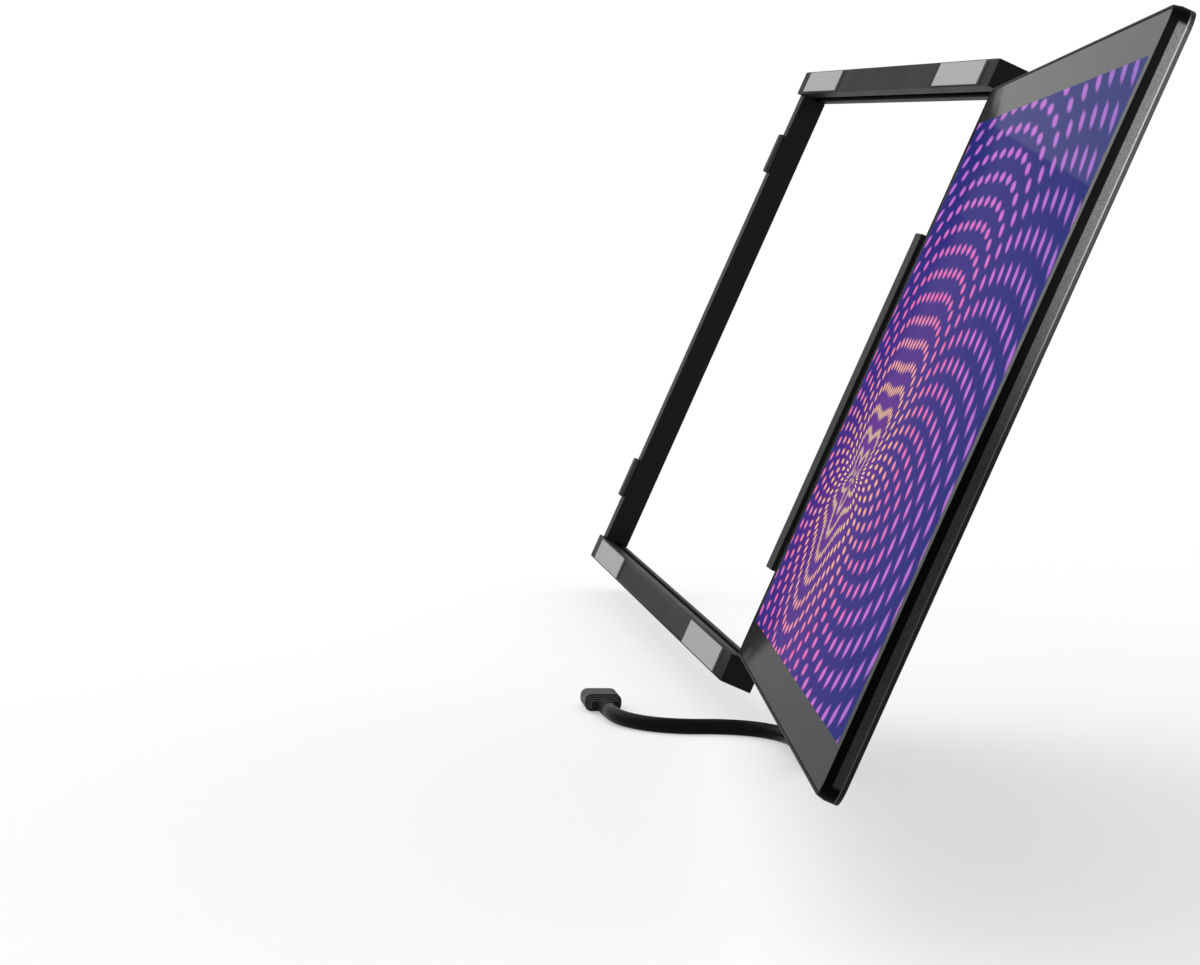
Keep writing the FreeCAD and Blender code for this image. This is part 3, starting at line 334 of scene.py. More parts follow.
plug_finish = finish("plug_moulding", (0.009, 0.009, 0.0095), 0.42, grain=3200, relief=0.35,
                     depth=0.00005, flecks=0.3, clouding=0.12, specular=0.07)
sleeve_finish = finish("sleeve_rubber", (0.004, 0.004, 0.0045), 0.5, grain=2400, relief=0.2,
                       flecks=0.15, specular=0.05)
plug_steel = finish("plug_steel", (0.62, 0.62, 0.64), 0.3, grain=1200, relief=0.06, metallic=1.0,
                    stretch=(0.15, 1, 1), flecks=0.06)
free_plug_home = (Matrix.Translation(FREE_PLUG_PLACE) @ Matrix.Rotation(math.radians(-90), 4, "Y")
                  @ Matrix.Rotation(math.radians(90), 4, "Z"))
port_place = Matrix.Translation((SOCKETS[0], SOCKET_LEVEL, BOX_FOOT))
cord_pieces = []
for name, node, home, lift in (("free_plug", "notebook", free_plug_home, Matrix.Identity(4)),
                               ("port_plug", "screen", SCREEN, port_place)):
    body = overmould(name)
    body.data.transform(lift)
    stand(body, home, plug_finish, "screen", node + "_plug")
    tail = sleeve(name + "_sleeve")
    tail.data.transform(lift @ Matrix.Translation((0, 0, -PLUG_LENGTH))
                        @ Matrix.Rotation(math.pi, 4, "X"))
    stand(tail, home, sleeve_finish, "screen", node + "_strain_relief")
    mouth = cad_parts[node + "_plug_mouth"]
    if node == "notebook":
        cord_pieces += [body, tail, mouth]


def dress(material, *names):
    """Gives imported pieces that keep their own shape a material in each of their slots."""
    for name in names:
        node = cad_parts[name]
        if not node.material_slots:
            node.data.materials.append(material)
        for place in node.material_slots:
            place.material = material


dress(plug_steel, "notebook_plug_mouth", "screen_plug_mouth")

# Screen rim: a thin aluminium frame round the display. Its front edge is milled to a smooth black
# slope, and its flat sides are bead blasted to a fine grey-black grain. A brighter grey band
# along the rear edge is a painted highlight.
# The corners stay smooth and black.
SCREEN_LEFT, SCREEN_RIGHT, SCREEN_HALF, SCREEN_CORNER = 165.2, 473.2, 95.0, 5.0
RIM_FRONT, RIM_BACK, SLOPE_DEPTH, SLOPE_WIDTH, RIM_EDGE = 1.2, 5.6, 2.0, 0.5, 0.1
LIP, GLASS_BACK, OPENING_SIDE, OPENING_HALF = 1.2, 2.05, 4.3, 86.5
PAST = 1.0  # how far a cutting shape stands out of what it cuts
# The grey of the rim's rear edge is a painted highlight, not a colour of the metal.
SLOPE_BLACK, PAINTED_HIGHLIGHT_GREY = (0.0005, 0.0005, 0.0006, 1), (0.055, 0.055, 0.057, 1)
SLOPE_END, CORNER_START, REAR_EDGE = (0.00312, 0.00325), (0.0905, 0.0915), (0.00522, 0.0053)


def cut(piece, tool):
    """Takes the tool's shape out of the piece."""
    apply_last(piece, "BOOLEAN", operation="DIFFERENCE", solver="EXACT", object=tool)
    bpy.data.objects.remove(tool)


def screen_plate(name, inset, front, back):
    """A plate with the screen's rounded outline, inset all round."""
    plate = slab(name, SCREEN_LEFT + inset, SCREEN_RIGHT - inset, front, back,
                 -SCREEN_HALF + inset, SCREEN_HALF - inset)
    return round_along(plate, ALONG_Y, SCREEN_CORNER - inset, 10)


rim = screen_plate("rim", 0, RIM_FRONT + SLOPE_DEPTH, RIM_BACK)
pick(rim, "FACE", lambda face: face.normal.y < -FACING)
bpy.ops.mesh.inset(thickness=SLOPE_WIDTH, depth=SLOPE_DEPTH)
bpy.ops.object.mode_set(mode="OBJECT")
cut(rim, screen_plate("seat", LIP, RIM_FRONT - PAST, GLASS_BACK))
cut(rim, slab("opening", SCREEN_LEFT + OPENING_SIDE, SCREEN_RIGHT - OPENING_SIDE,
              0, RIM_BACK + PAST, -OPENING_HALF, OPENING_HALF))
soften(rim, RIM_EDGE, 2)
rim_finish = finish("rim_blasted", (0.021, 0.0211, 0.0217), 0.45, grain=1900, relief=0.5,
                    depth=0.00012, clouding=0.05, flecks=0.5, specular=0.02)


def along_screen(tree):
    """The screen's own coordinates in metres: across, out of its back, and up."""
    shift, turn, _ = SCREEN.inverted().decompose()
    turned = add_node(tree, "ShaderNodeMapping", {
        "Vector": tree.nodes.new("ShaderNodeTexCoord").outputs["Object"],
        "Location": shift, "Rotation": turn.to_euler("XYZ")})
    return add_node(tree, "ShaderNodeSeparateXYZ", {"Vector": turned.outputs["Vector"]}).outputs


def ramp_between(tree, value, low, high):
    """Zero where value is under low, one where it is over high."""
    return add_node(tree, "ShaderNodeMapRange", {
        "Value": value, "From Min": low, "From Max": high},
        interpolation_type="SMOOTHSTEP").outputs["Result"]


def blend(tree, share, first, second):
    """The first colour where share is zero, the second where it is one."""
    return add_node(tree, "ShaderNodeMix", {"Factor": share, "A": first, "B": second},
                    data_type="RGBA").outputs["Result"]


tree = rim_finish.node_tree
_, depth, level = along_screen(tree)
grained = tree.nodes["grain"].outputs
corner = ramp_between(tree, worked(tree, "ABSOLUTE", level), *CORNER_START)
blasted = worked(tree, "SUBTRACT", ramp_between(tree, depth, *SLOPE_END), corner)
blasted = worked(tree, "MAXIMUM", blasted, 0.0)
black_slope = blend(tree, blasted, SLOPE_BLACK, grained["Colour"])
# A thin grey band along the rim's rear edge is a painted highlight, standing in for light caught
# by that edge.
with_painted_highlight = blend(tree, ramp_between(tree, depth, *REAR_EDGE), black_slope, PAINTED_HIGHLIGHT_GREY)
feed(tree, tree.nodes["Principled BSDF"], {"Base Color": with_painted_highlight})
feed(tree, tree.nodes["Bump"], {"Height": worked(tree, "MULTIPLY", grained["Height"], blasted)})
stand(rim, SCREEN, rim_finish, "screen", "screen_rim")

# Cover glass: one sheet with a black printed border, bonded into the rim's seat. The lit area
# behind it shows a plain pattern of beaded rings in the colours of a sunset. The glass's coat is
# painted to reflect more towards the top, and a painted reflection lies over the top of the lit
# area.
GLASS_GAP, GLASS_FRONT, GLASS_EDGE = 0.1, 1.35, 0.12
LIT_HALF_WIDTH, LIT_HALF_HEIGHT, SCREEN_MIDDLE = 0.1469, 0.0826, 0.3192
RING_CENTRE, RING_SQUEEZE, RING_PITCH = (0.262, -0.03), 0.6, 0.0072
PETALS, PETAL_HEIGHT, BEADS = 5, 0.0025, 58
RING_SHARE, BEAD_SHARE, BEAD_EDGE = 0.6, 0.4, (0.25, 0.8)
GLOW_REACH, FIELD_REACH = 0.16, 0.15
GLOW_STOPS = ((0.0, (1.0, 0.86, 0.36, 1)), (0.16, (1.0, 0.56, 0.26, 1)),
              (0.34, (0.86, 0.16, 0.42, 1)), (0.6, (0.56, 0.16, 0.66, 1)),
              (1.0, (0.30, 0.13, 0.55, 1)))
FIELD_STOPS = ((0.0, (0.13, 0.020, 0.26, 1)), (0.4, (0.040, 0.022, 0.22, 1)),
               (1.0, (0.014, 0.022, 0.17, 1)))
DRIFT_SCALE, DRIFT_DETAIL, DRIFT_GAIN = 9.0, 2.0, 0.5
UNLIT, BEHIND_PICTURE = (0, 0, 0, 1), (0.004, 0.004, 0.006, 1)
# Painted sheen: the glass coat reflects less at the bottom and more towards the top.
PAINTED_SHEEN_LOW, PAINTED_SHEEN_RISE = 0.12, 0.2
# Place and strength of a painted reflection laid over the top of the lit area.
PAINTED_REFLECTION_FALL, PAINTED_REFLECTION_EDGE, PAINTED_REFLECTION_WIDTH, PAINTED_REFLECTION_SHARE = 0.1125, 0.1031, 0.0015, 0.22


def colour_ramp(tree, place, stops):
    """The colour at a place between stops, each a position and a colour."""
    step = add_node(tree, "ShaderNodeValToRGB", {"Fac": place})
    while len(step.color_ramp.elements) < len(stops):
        step.color_ramp.elements.new(0.5)
    for element, (position, colour) in zip(step.color_ramp.elements, stops):
        element.position = position
        element.color = colour
    return step.outputs["Color"]


glass = screen_plate("glass", LIP + GLASS_GAP, GLASS_FRONT, GLASS_BACK)
soften(glass, GLASS_EDGE, 2)
glass_finish = bpy.data.materials.new("glass_over_black")
glass_finish.use_nodes = True
tree = glass_finish.node_tree
across, _, upwards = along_screen(tree)
inside_x = worked(tree, "LESS_THAN", worked(tree, "ABSOLUTE", worked(
    tree, "SUBTRACT", across, SCREEN_MIDDLE)), LIT_HALF_WIDTH)
inside_z = worked(tree, "LESS_THAN", worked(tree, "ABSOLUTE", upwards), LIT_HALF_HEIGHT)
lit = worked(tree, "MULTIPLY", inside_x, inside_z)
from_x = worked(tree, "MULTIPLY", worked(tree, "SUBTRACT", across, RING_CENTRE[0]), RING_SQUEEZE)
from_z = worked(tree, "SUBTRACT", upwards, RING_CENTRE[1])
reach = worked(tree, "SQRT", worked(tree, "ADD", worked(tree, "POWER", from_x, 2),
                                    worked(tree, "POWER", from_z, 2)))
heading = worked(tree, "ARCTAN2", from_z, from_x)
petal = worked(tree, "MULTIPLY", worked(tree, "SINE", worked(tree, "MULTIPLY", heading, PETALS)),
               PETAL_HEIGHT)
ring = worked(tree, "DIVIDE", worked(tree, "ADD", reach, petal), RING_PITCH)
ring_wave = worked(tree, "COSINE", worked(tree, "MULTIPLY", ring, 2 * math.pi))
odd = worked(tree, "MULTIPLY", worked(tree, "MODULO", worked(tree, "ROUND", ring), 2), math.pi)
bead_wave = worked(tree, "COSINE", worked(tree, "ADD", worked(
    tree, "MULTIPLY", heading, BEADS), odd))
bead = worked(tree, "ADD", worked(tree, "MULTIPLY", ring_wave, RING_SHARE),
              worked(tree, "MULTIPLY", bead_wave, BEAD_SHARE))
glow = colour_ramp(tree, worked(tree, "DIVIDE", reach, GLOW_REACH), GLOW_STOPS)
noise = add_node(tree, "ShaderNodeTexNoise", {
    "Vector": tree.nodes["Texture Coordinate"].outputs["Object"],
    "Scale": DRIFT_SCALE, "Detail": DRIFT_DETAIL}).outputs["Fac"]
drift = worked(tree, "MULTIPLY", worked(tree, "SUBTRACT", noise, NOISE_MIDDLE), DRIFT_GAIN)
field = colour_ramp(tree, worked(
    tree, "ADD", worked(tree, "DIVIDE", reach, FIELD_REACH), drift), FIELD_STOPS)
picture = blend(tree, ramp_between(tree, bead, *BEAD_EDGE), field, glow)
surface = skin(tree, (0.02, 0.02, 0.021), 0.06, grain=300.0, clouding=0.12, flecks=0.0,
               handling=0.03)
# The coat's reflection is painted to grow towards the top of the screen, a painted sheen.
upper_share = ramp_between(tree, upwards, -SCREEN_HALF / 1000, SCREEN_HALF / 1000)
painted_sheen = worked(tree, "ADD", PAINTED_SHEEN_LOW, worked(tree, "MULTIPLY", upper_share, PAINTED_SHEEN_RISE))
# A painted reflection: a coat layer over the lit area above a sloping line near its top.
painted_reflection_line = worked(tree, "ADD", upwards, worked(tree, "MULTIPLY", across, PAINTED_REFLECTION_FALL))
under_painted_reflection = ramp_between(tree, painted_reflection_line, PAINTED_REFLECTION_EDGE, PAINTED_REFLECTION_EDGE + PAINTED_REFLECTION_WIDTH)
reflecting = worked(tree, "MAXIMUM", worked(tree, "SUBTRACT", 1.0, lit),
                    worked(tree, "MULTIPLY", under_painted_reflection, PAINTED_REFLECTION_SHARE))
feed(tree, tree.nodes["Principled BSDF"], {
    "Base Color": blend(tree, lit, surface["Colour"], BEHIND_PICTURE),
    "Roughness": surface["Roughness"],
    "Specular IOR Level": 0.0001,
    "Coat Weight": worked(tree, "MULTIPLY", painted_sheen, reflecting),
    "Coat Roughness": 0.05,
    "Emission Color": blend(tree, lit, UNLIT, picture),
    "Emission Strength": 1.0})
stand(glass, SCREEN, glass_finish, "screen", "cover_glass")

# Display stack behind the glass: cell, films, light guide and lamp strip in a pressed tray, with
# the flat cable to it. None of it shows once the glass is bonded in.
dress(finish("display_cell", (0.02, 0.02, 0.03), 0.2, grain=600, relief=0.02), "lcd_panel")
dress(finish("light_films", (0.85, 0.86, 0.88), 0.35, grain=2500, relief=0.08, flecks=0.03,
             clouding=0.02), "film_stack", "light_guide", "lamp_strip")
dress(finish("pressed_tray", (0.72, 0.73, 0.75), 0.35, grain=900, relief=0.1, metallic=1.0,
             flecks=0.05, stretch=(1, 1, 8)), "panel_tray")
dress(finish("printed_ribbon", (0.55, 0.27, 0.05), 0.35, grain=500, relief=0.05,
             stretch=(1, 1, 6)), "panel_ribbon", "button_ribbon")

# Back cover: a thin moulded shell with a fine even texture. The low box over the electronics holds
# the sockets in its lower face and the buttons in its back, and eight small screws hold the cover.
COVER_BACK, COVER_ROUND, COVER_EDGE = 6.6, 0.45, 0.12
BOX_LEFT, BOX_RIGHT, BOX_TOP, BOX_BACK = 231.0, 403.0, 47.0, 12.6
BOX_CORNER, BOX_ROUND, BOX_WALL, BOX_ROOT, NEARLY = 6.0, 0.9, 1.0, 0.3, 0.1
BUTTON_LEVEL, BUTTON_GAP = 28.0, 0.1
BUTTONS = ((385.0, 3.2, "power"), (371.0, 2.5, "brightness_up"), (357.0, 2.5, "brightness_down"))
PORT_HALF_WIDTH, PORT_HALF_HEIGHT, PORT_CORNER, PORT_DEPTH = 4.7, 1.85, 1.84, 1.5
FIRST_SCREW, SCREW_PITCH, SCREW_LEVEL = 179.2, 280.0 / 3, 90.4
HEAD_SINK, SEAT_RADIUS = 0.6, 1.55
COVER_SCREWS = [(FIRST_SCREW + SCREW_PITCH * step, level)
                for step in range(4) for level in (-SCREW_LEVEL, SCREW_LEVEL)]


def post(name, x, z, radius, front, back, vertices=48):
    """A round bar from front to back, in millimetres, along y."""
    bpy.ops.mesh.primitive_cylinder_add(vertices=vertices, radius=radius, depth=back - front,
                                        location=(x, (front + back) / 2, z),
                                        rotation=(math.pi / 2, 0, 0))
    return settle(name)


def fuse(piece, tool):
    """Joins the tool's shape to the piece."""
    apply_last(piece, "BOOLEAN", operation="UNION", solver="EXACT", object=tool)
    bpy.data.objects.remove(tool)


def round_back(piece, back, radius, segments):
    """Rounds the edges of the face at back."""
    round_edges(piece, radius, segments, lambda edge: all(
        vert.co.y > back - NEARLY for vert in edge.verts))


cover = screen_plate("cover", 0, RIM_BACK, COVER_BACK)
round_back(cover, COVER_BACK, COVER_ROUND, 3)
box = round_along(slab("box", BOX_LEFT, BOX_RIGHT, COVER_BACK - BOX_ROOT, BOX_BACK,
                       BOX_FOOT, BOX_TOP), ALONG_Y, BOX_CORNER, 10)
round_back(box, BOX_BACK, BOX_ROUND, 4)
fuse(cover, box)
cut(cover, round_along(slab("hollow", BOX_LEFT + BOX_WALL, BOX_RIGHT - BOX_WALL,
                            RIM_BACK - PAST, BOX_BACK - BOX_WALL,
                            BOX_FOOT + BOX_WALL, BOX_TOP - BOX_WALL),
                       ALONG_Y, BOX_CORNER - BOX_WALL, 6))
for x, radius, _ in BUTTONS:
    cut(cover, post("bore", x, BUTTON_LEVEL, radius + BUTTON_GAP,
                    BOX_BACK - 2 * BOX_WALL, BOX_BACK + PAST))
for x in SOCKETS:
    cut(cover, round_along(slab("port", x - PORT_HALF_WIDTH, x + PORT_HALF_WIDTH,
                                SOCKET_LEVEL - PORT_HALF_HEIGHT, SOCKET_LEVEL + PORT_HALF_HEIGHT,
                                BOX_FOOT - PAST, BOX_FOOT + PORT_DEPTH),
                           ALONG_Z, PORT_CORNER, 6))
for x, level in COVER_SCREWS:
    cut(cover, post("seat", x, level, SEAT_RADIUS, COVER_BACK - HEAD_SINK, COVER_BACK + PAST, 24))
soften(cover, COVER_EDGE, 2)
cover_finish = finish("cover_moulding", (0.007, 0.007, 0.0076), 0.46, grain=1500, relief=0.45,
                      depth=0.0001, flecks=0.3, clouding=0.1, specular=0.08)
stand(cover, SCREEN, cover_finish, "screen", "back_cover")

# Electronics in the box: two glass-cloth boards under green varnish with their chips, switches
# and sockets soldered on, each board held by its screws.
dress(finish("solder_mask", (0.012, 0.12, 0.055), 0.3, grain=350, relief=0.12, flecks=0.4,
             stretch=(1, 1, 4)), "controller_board", "button_board")
dress(finish("chip_moulding", (0.02, 0.02, 0.022), 0.6, grain=2600, relief=0.2),
      "board_chips", "button_switches")
dress(plug_steel, "usb_c_sockets")

# Small screws: blackened steel with a flat head and a six-sided recess, turned and rolled. They
# hold the back cover, the hinge leaves, the boards and the end bar.
HEAD_HEIGHT, HEAD_RADIUS, SHANK_RADIUS, SHANK_ROOT, SCREW_EDGE = 0.6, 1.5, 0.8, 0.1, 0.08
RECESS_RADIUS, RECESS_FLOOR, RECESS_PAST = 0.75, 0.45, 0.2
HINGE_LEVELS, LEAF_STEP, MOVING_ROW, FIXED_ROW = (32.0, -53.0), 9.0, 167.9, 149.85
MOVING_SCREWS = [(MOVING_ROW, level + step)
                 for level in HINGE_LEVELS for step in (-LEAF_STEP, 0, LEAF_STEP)]
FIXED_SCREWS = [(FIXED_ROW, level + step)
                for level in HINGE_LEVELS for step in (-LEAF_STEP, LEAF_STEP)]
SCREW_ROWS = (  # name, places, level under the heads, tips, home, body, node
    ("cover_screws", COVER_SCREWS, COVER_BACK - HEAD_SINK, 3.25, SCREEN, "screen",
     "back_cover_screws"),
    ("moving_leaf_screws", MOVING_SCREWS, 7.8, 3.25, SCREEN, "screen", "screen_leaf_screws"),
    ("fixed_leaf_screws", FIXED_SCREWS, 11.4, 5.2, CASE, "carriage", "carriage_leaf_screws"),
)
screw_finish = finish("blackened_steel", (0.045, 0.045, 0.05), 0.35, grain=1800, relief=0.12,
                      metallic=0.9, flecks=0.15)


def screw(x, z, under_head, tip):
    """One screw along y, its head behind under_head."""
    made = post("screw", x, z, HEAD_RADIUS, under_head, under_head + HEAD_HEIGHT, 24)
    cut(made, post("recess", x, z, RECESS_RADIUS, under_head + HEAD_HEIGHT * RECESS_FLOOR,
                   under_head + HEAD_HEIGHT + RECESS_PAST, 6))
    fuse(made, post("shank", x, z, SHANK_RADIUS, tip, under_head + SHANK_ROOT, 16))
    soften(made, SCREW_EDGE, 2)
    return made


def joined(name, made):
    """Several like pieces as one object."""
    choose(*made)
    bpy.ops.object.join()
    made[0].name = made[0].data.name = name
    return made[0]


def copies(first, shifts):
    """The first piece and copies of it, each with its own mesh, moved by the shifts."""
    made = [first]
    for shift in shifts:
        other = first.copy()
        other.data = first.data.copy()
        other.data.transform(Matrix.Translation(shift))
        bpy.context.scene.collection.objects.link(other)
        made.append(other)
    return made


for name, places, under_head, tip, home, body, node in SCREW_ROWS:
    x0, z0 = places[0]
    row = copies(screw(x0, z0, under_head, tip), [(x - x0, 0, z - z0) for x, z in places[1:]])
    stand(joined(name, row), home, screw_finish, body, node)
dress(screw_finish, "board_screws", "button_board_screws", "end_bar_screws")

# Buttons: moulded caps that stand half a millimetre out of the box, each with a shallow dish for
# the fingertip. A flange behind the cover keeps each one in.
FLANGE_FRONT, FLANGE_BACK, FLANGE_REACH, KEY_PROUD, KEY_EDGE = 10.95, 11.55, 0.8, 0.5, 0.12
DISH_BORDER, DISH_SLOPE, DISH_DEPTH = 0.35, 0.5, 0.14
key_finish = finish("key_moulding", (0.035, 0.035, 0.038), 0.38, grain=2600, relief=0.15,
                    flecks=0.15)
for x, radius, word in BUTTONS:
    key = post(word + "_key", x, BUTTON_LEVEL, radius, FLANGE_FRONT, BOX_BACK + KEY_PROUD)
    pick(key, "FACE", lambda face: face.normal.y > FACING)
    bpy.ops.mesh.inset(thickness=DISH_BORDER)
    bpy.ops.mesh.inset(thickness=DISH_SLOPE, depth=-DISH_DEPTH)
    bpy.ops.object.mode_set(mode="OBJECT")
    fuse(key, post("flange", x, BUTTON_LEVEL, radius + FLANGE_REACH, FLANGE_FRONT, FLANGE_BACK))
    soften(key, KEY_EDGE, 3)
    stand(key, SCREEN, key_finish, word, word + "_button")

# Case: two extruded and anodised rails, each with a T-shaped channel towards the screen. Magnets
# are let into their front faces and hold on to thin steel plates, glued to what carries the case.
CASE_HALF, RAIL_INNER, RAIL_OUTER, RAIL_FRONT, RAIL_BACK = 156.0, 95.6, 104.8, 0.6, 11.0
CHANNEL_INNER, CHANNEL_OUTER, CHANNEL_FRONT, CHANNEL_BACK = 97.0, 103.4, 3.6, 9.6
SLOT_FRONT, SLOT_BACK, SLOT_OVERLAP, CASE_EDGE = 4.9, 8.3, 0.5, 0.3
POCKETS, POCKET_DEPTH = ((-142.0, -82.0), (82.0, 142.0)), 2.0
POCKET_INNER, POCKET_OUTER = 97.2, 103.2
rail = slab("upper_rail", -CASE_HALF, CASE_HALF, RAIL_FRONT, RAIL_BACK, RAIL_INNER, RAIL_OUTER)
cut(rail, slab("channel", -CASE_HALF - PAST, CASE_HALF + PAST, CHANNEL_FRONT, CHANNEL_BACK,
               CHANNEL_INNER, CHANNEL_OUTER))
cut(rail, slab("slot", -CASE_HALF - PAST, CASE_HALF + PAST, SLOT_FRONT, SLOT_BACK,
               RAIL_INNER - PAST, CHANNEL_INNER + SLOT_OVERLAP))
for x0, x1 in POCKETS:
    cut(rail, slab("pocket", x0, x1, RAIL_FRONT - PAST, RAIL_FRONT + POCKET_DEPTH,
                   POCKET_INNER, POCKET_OUTER))
soften(rail, CASE_EDGE, 3)
other_rail = copies(rail, [(0, 0, 0)])[1]
other_rail.name = other_rail.data.name = "lower_rail"
other_rail.data.transform(Matrix.Scale(-1, 4, (0, 0, 1)))
pick(other_rail, "FACE", lambda face: True)
bpy.ops.mesh.normals_make_consistent(inside=False)
bpy.ops.object.mode_set(mode="OBJECT")
rail_finish = finish("rail_anodised", (0.010, 0.010, 0.011), 0.45, grain=1300, relief=0.14,
                     depth=0.00005, flecks=0.2, stretch=(0.08, 1, 1), specular=0.02)
stand(rail, CASE, rail_finish, "case", "top_rail")
stand(other_rail, CASE, rail_finish, "case", "bottom_rail")
dress(finish("magnet_nickel", (0.42, 0.42, 0.41), 0.26, grain=700, relief=0.05, metallic=1.0,
             flecks=0.05), "rail_magnets")
dress(finish("plate_steel", (0.30, 0.30, 0.31), 0.42, grain=1600, relief=0.12, metallic=1.0,
             flecks=0.1, stretch=(0.06, 1, 1)), "lid_plates")

# End bar and end caps: moulded. The bar closes the case at its far end and takes a screw in each
# end, the caps push into the rails' channels, and two rubber pads cushion the bar's front.
BAR_WIDTH, BAR_WALL, BAR_FRONT, BAR_EDGE = 8.0, 1.5, 2.0, 0.35
TROUGH_FRONT, TROUGH_HALF = 3.6, 83.6
SCREW_WAY, WAY_START, WAY_END = (-152.85, -151.15, 5.75, 7.45), 85.1, 96.0
CAP_OUT, CAP_IN, CAP_OVERLAP, CAP_FIT, CAP_SHOULDER = 1.2, 1.6, 0.2, 0.05, 1.45
PAD_MIDDLES, PAD_HALF, PAD_EDGE = (70.0, -70.0), 8.0, 0.6
case_moulding = finish("case_moulding", (0.007, 0.007, 0.0075), 0.48, grain=2100, relief=0.35,
                       flecks=0.22, specular=0.06)
bar = slab("far_bar", -CASE_HALF, -CASE_HALF + BAR_WIDTH, BAR_FRONT, RAIL_BACK,
           -RAIL_INNER, RAIL_INNER)
cut(bar, slab("trough", -CASE_HALF + BAR_WALL, -CASE_HALF + BAR_WIDTH - BAR_WALL,
              TROUGH_FRONT, RAIL_BACK + PAST, -TROUGH_HALF, TROUGH_HALF))
for z0, z1 in ((WAY_START, WAY_END), (-WAY_END, -WAY_START)):
    cut(bar, slab("screw_way", *SCREW_WAY, z0, z1))
soften(bar, BAR_EDGE, 3)
stand(bar, CASE, case_moulding, "case", "end_bar")
caps = []
for end, way in ((CASE_HALF, 1), (-CASE_HALF, -1)):
    for z0, z1 in ((RAIL_INNER, RAIL_OUTER), (-RAIL_OUTER, -RAIL_INNER)):
        cap = slab("cap", *sorted((end, end + CAP_OUT * way)), RAIL_FRONT, RAIL_BACK, z0, z1)
        fuse(cap, slab("plug", *sorted((end - CAP_IN * way, end + CAP_OVERLAP * way)),
                       CHANNEL_FRONT + CAP_FIT, CHANNEL_BACK - CAP_FIT,
                       z0 + CAP_SHOULDER, z1 - CAP_SHOULDER))
        soften(cap, CASE_EDGE, 3)
        caps.append(cap)
stand(joined("rail_caps", caps), CASE, case_moulding, "case", "rail_end_caps")
pad_finish = finish("pad_rubber", (0.014, 0.014, 0.014), 0.75, grain=1400, relief=0.3, flecks=0.2)
pads = []
for middle in PAD_MIDDLES:
    pad = slab("pad", -CASE_HALF + BAR_WALL, -CASE_HALF + BAR_WIDTH - BAR_WALL, 0, BAR_FRONT,
               middle - PAD_HALF, middle + PAD_HALF)
    soften(pad, PAD_EDGE, 4)
    pads.append(pad)
stand(joined("lid_pads", pads), CASE, pad_finish, "case", "lid_bumpers")

# Carriage: a moulded bar with a thick middle and two thin arms, which end in white slippery shoes
# with felt pads. The shoes run in the rails' channels.
CARRIAGE_LEFT, CARRIAGE_RIGHT = 145.5, 154.2
MIDDLE_BLOCK, ARMS = (1.5, 10.2, -67.3, 46.3), (5.2, 8.0, -100.08, 100.08)
carriage = slab("slide_bar", CARRIAGE_LEFT, CARRIAGE_RIGHT, *MIDDLE_BLOCK)
fuse(carriage, slab("arms", CARRIAGE_LEFT, CARRIAGE_RIGHT, *ARMS))
soften(carriage, CASE_EDGE, 3)
stand(carriage, CASE, case_moulding, "carriage", "carriage_bar")
dress(finish("slippery_white", (0.72, 0.72, 0.69), 0.35, grain=1200, relief=0.06, flecks=0.04,
             clouding=0.04), "upper_shoe", "lower_shoe")
dress(finish("wool_felt", (0.11, 0.11, 0.115), 0.95, grain=1500, relief=0.8, depth=0.0003,
             flecks=0.5), "friction_pads")

# Hinges: pressed and rolled steel leaves, blackened, on bright pins in bronze bushes. A moulded
# cover hides the line between them and shows as the dark strip beside the screen.
dress(finish("leaf_steel", (0.04, 0.04, 0.043), 0.36, grain=1400, relief=0.15, metallic=0.85,
             flecks=0.18, stretch=(1, 1, 0.2)), "carriage_hinge_leaves", "screen_hinge_leaves")
dress(plug_steel, "hinge_pins")
dress(finish("sintered_bronze", (0.42, 0.24, 0.09), 0.45, grain=2600, relief=0.3, metallic=1.0,
             flecks=0.3), "friction_bushes")
dress(case_moulding, "hinge_cover")

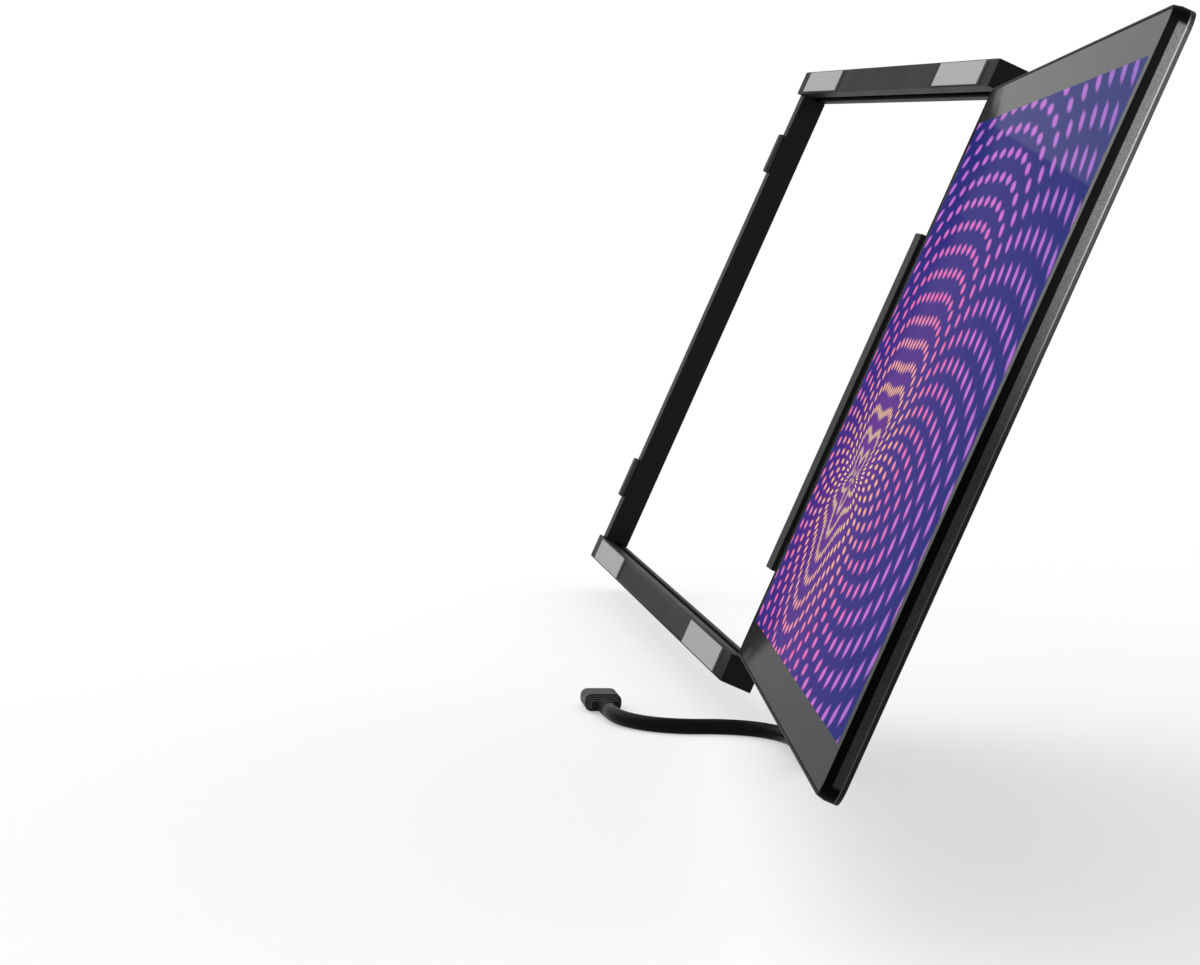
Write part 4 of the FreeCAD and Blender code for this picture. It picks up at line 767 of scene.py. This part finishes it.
# Studio: a plain pale floor that turns white with distance, white surroundings, a wide soft lamp
# high on the far left, and a small one low at the near end that lights its side from below.
FLOOR_LEVEL, FLOOR_SIZE, FLOOR_GLOW = -0.1103, 14.0, 0.42
FADE_MIDDLE, FADE_START, FADE_END = (0.35, 0.0, 0.0), 0.35, 1.1
AMBIENT = 0.97
bpy.ops.object.select_all(action="DESELECT")
bpy.ops.mesh.primitive_plane_add(size=FLOOR_SIZE, location=(0, 0, FLOOR_LEVEL))
floor = bpy.context.object
floor.name = "floor"
floor_finish = bpy.data.materials.new("pale_floor")
floor_finish.use_nodes = True
tree = floor_finish.node_tree
pale = feed(tree, tree.nodes["Principled BSDF"], {
    "Base Color": (0.9, 0.9, 0.9, 1), "Roughness": 0.9, "Specular IOR Level": 0.1})
white = tree.nodes.new("ShaderNodeEmission")
away = add_node(tree, "ShaderNodeVectorMath", {
    0: tree.nodes.new("ShaderNodeTexCoord").outputs["Object"], 1: FADE_MIDDLE},
    operation="DISTANCE").outputs["Value"]
fade = worked(tree, "ADD", FLOOR_GLOW, worked(
    tree, "MULTIPLY", ramp_between(tree, away, FADE_START, FADE_END), 1.0 - FLOOR_GLOW))
mixed = add_node(tree, "ShaderNodeMixShader", {
    "Fac": fade, 1: pale.outputs["BSDF"], 2: white.outputs["Emission"]})
feed(tree, tree.nodes["Material Output"], {"Surface": mixed.outputs["Shader"]})
floor.data.materials.append(floor_finish)

world = bpy.data.worlds.new("studio")
bpy.context.scene.world = world
world.use_nodes = True
tree = world.node_tree
ray = tree.nodes.new("ShaderNodeLightPath").outputs
seen = worked(tree, "MAXIMUM", worked(tree, "MAXIMUM", ray["Is Camera Ray"], ray["Is Glossy Ray"]),
              ray["Is Transmission Ray"])
strength = worked(tree, "ADD", worked(tree, "MULTIPLY", seen, 1.0 - AMBIENT), AMBIENT)
feed(tree, tree.nodes["Background"], {"Color": (1, 1, 1, 1), "Strength": strength})


def soft_lamp(name, place, aim, width, energy, spread):
    """A square soft lamp at place that faces aim."""
    bpy.ops.object.select_all(action="DESELECT")
    bpy.ops.object.light_add(type="AREA", location=place)
    lamp = bpy.context.object
    lamp.name = name
    lamp.data.size = width
    lamp.data.energy = energy
    lamp.data.spread = math.radians(spread)
    lamp.visible_camera = False
    lamp.rotation_euler = (Vector(aim) - Vector(place)).to_track_quat("-Z", "Y").to_euler()


soft_lamp("far_left_lamp", place=(-0.6, -1.0, 1.2), aim=(0.3, 0, 0), width=1.6, energy=8,
          spread=180)
soft_lamp("near_low_lamp", place=(0.62, -0.045, -0.05), aim=(0.52, 0.045, 0.19), width=0.05,
          energy=2.6, spread=88)
bpy.context.scene.view_settings.view_transform = "Standard"
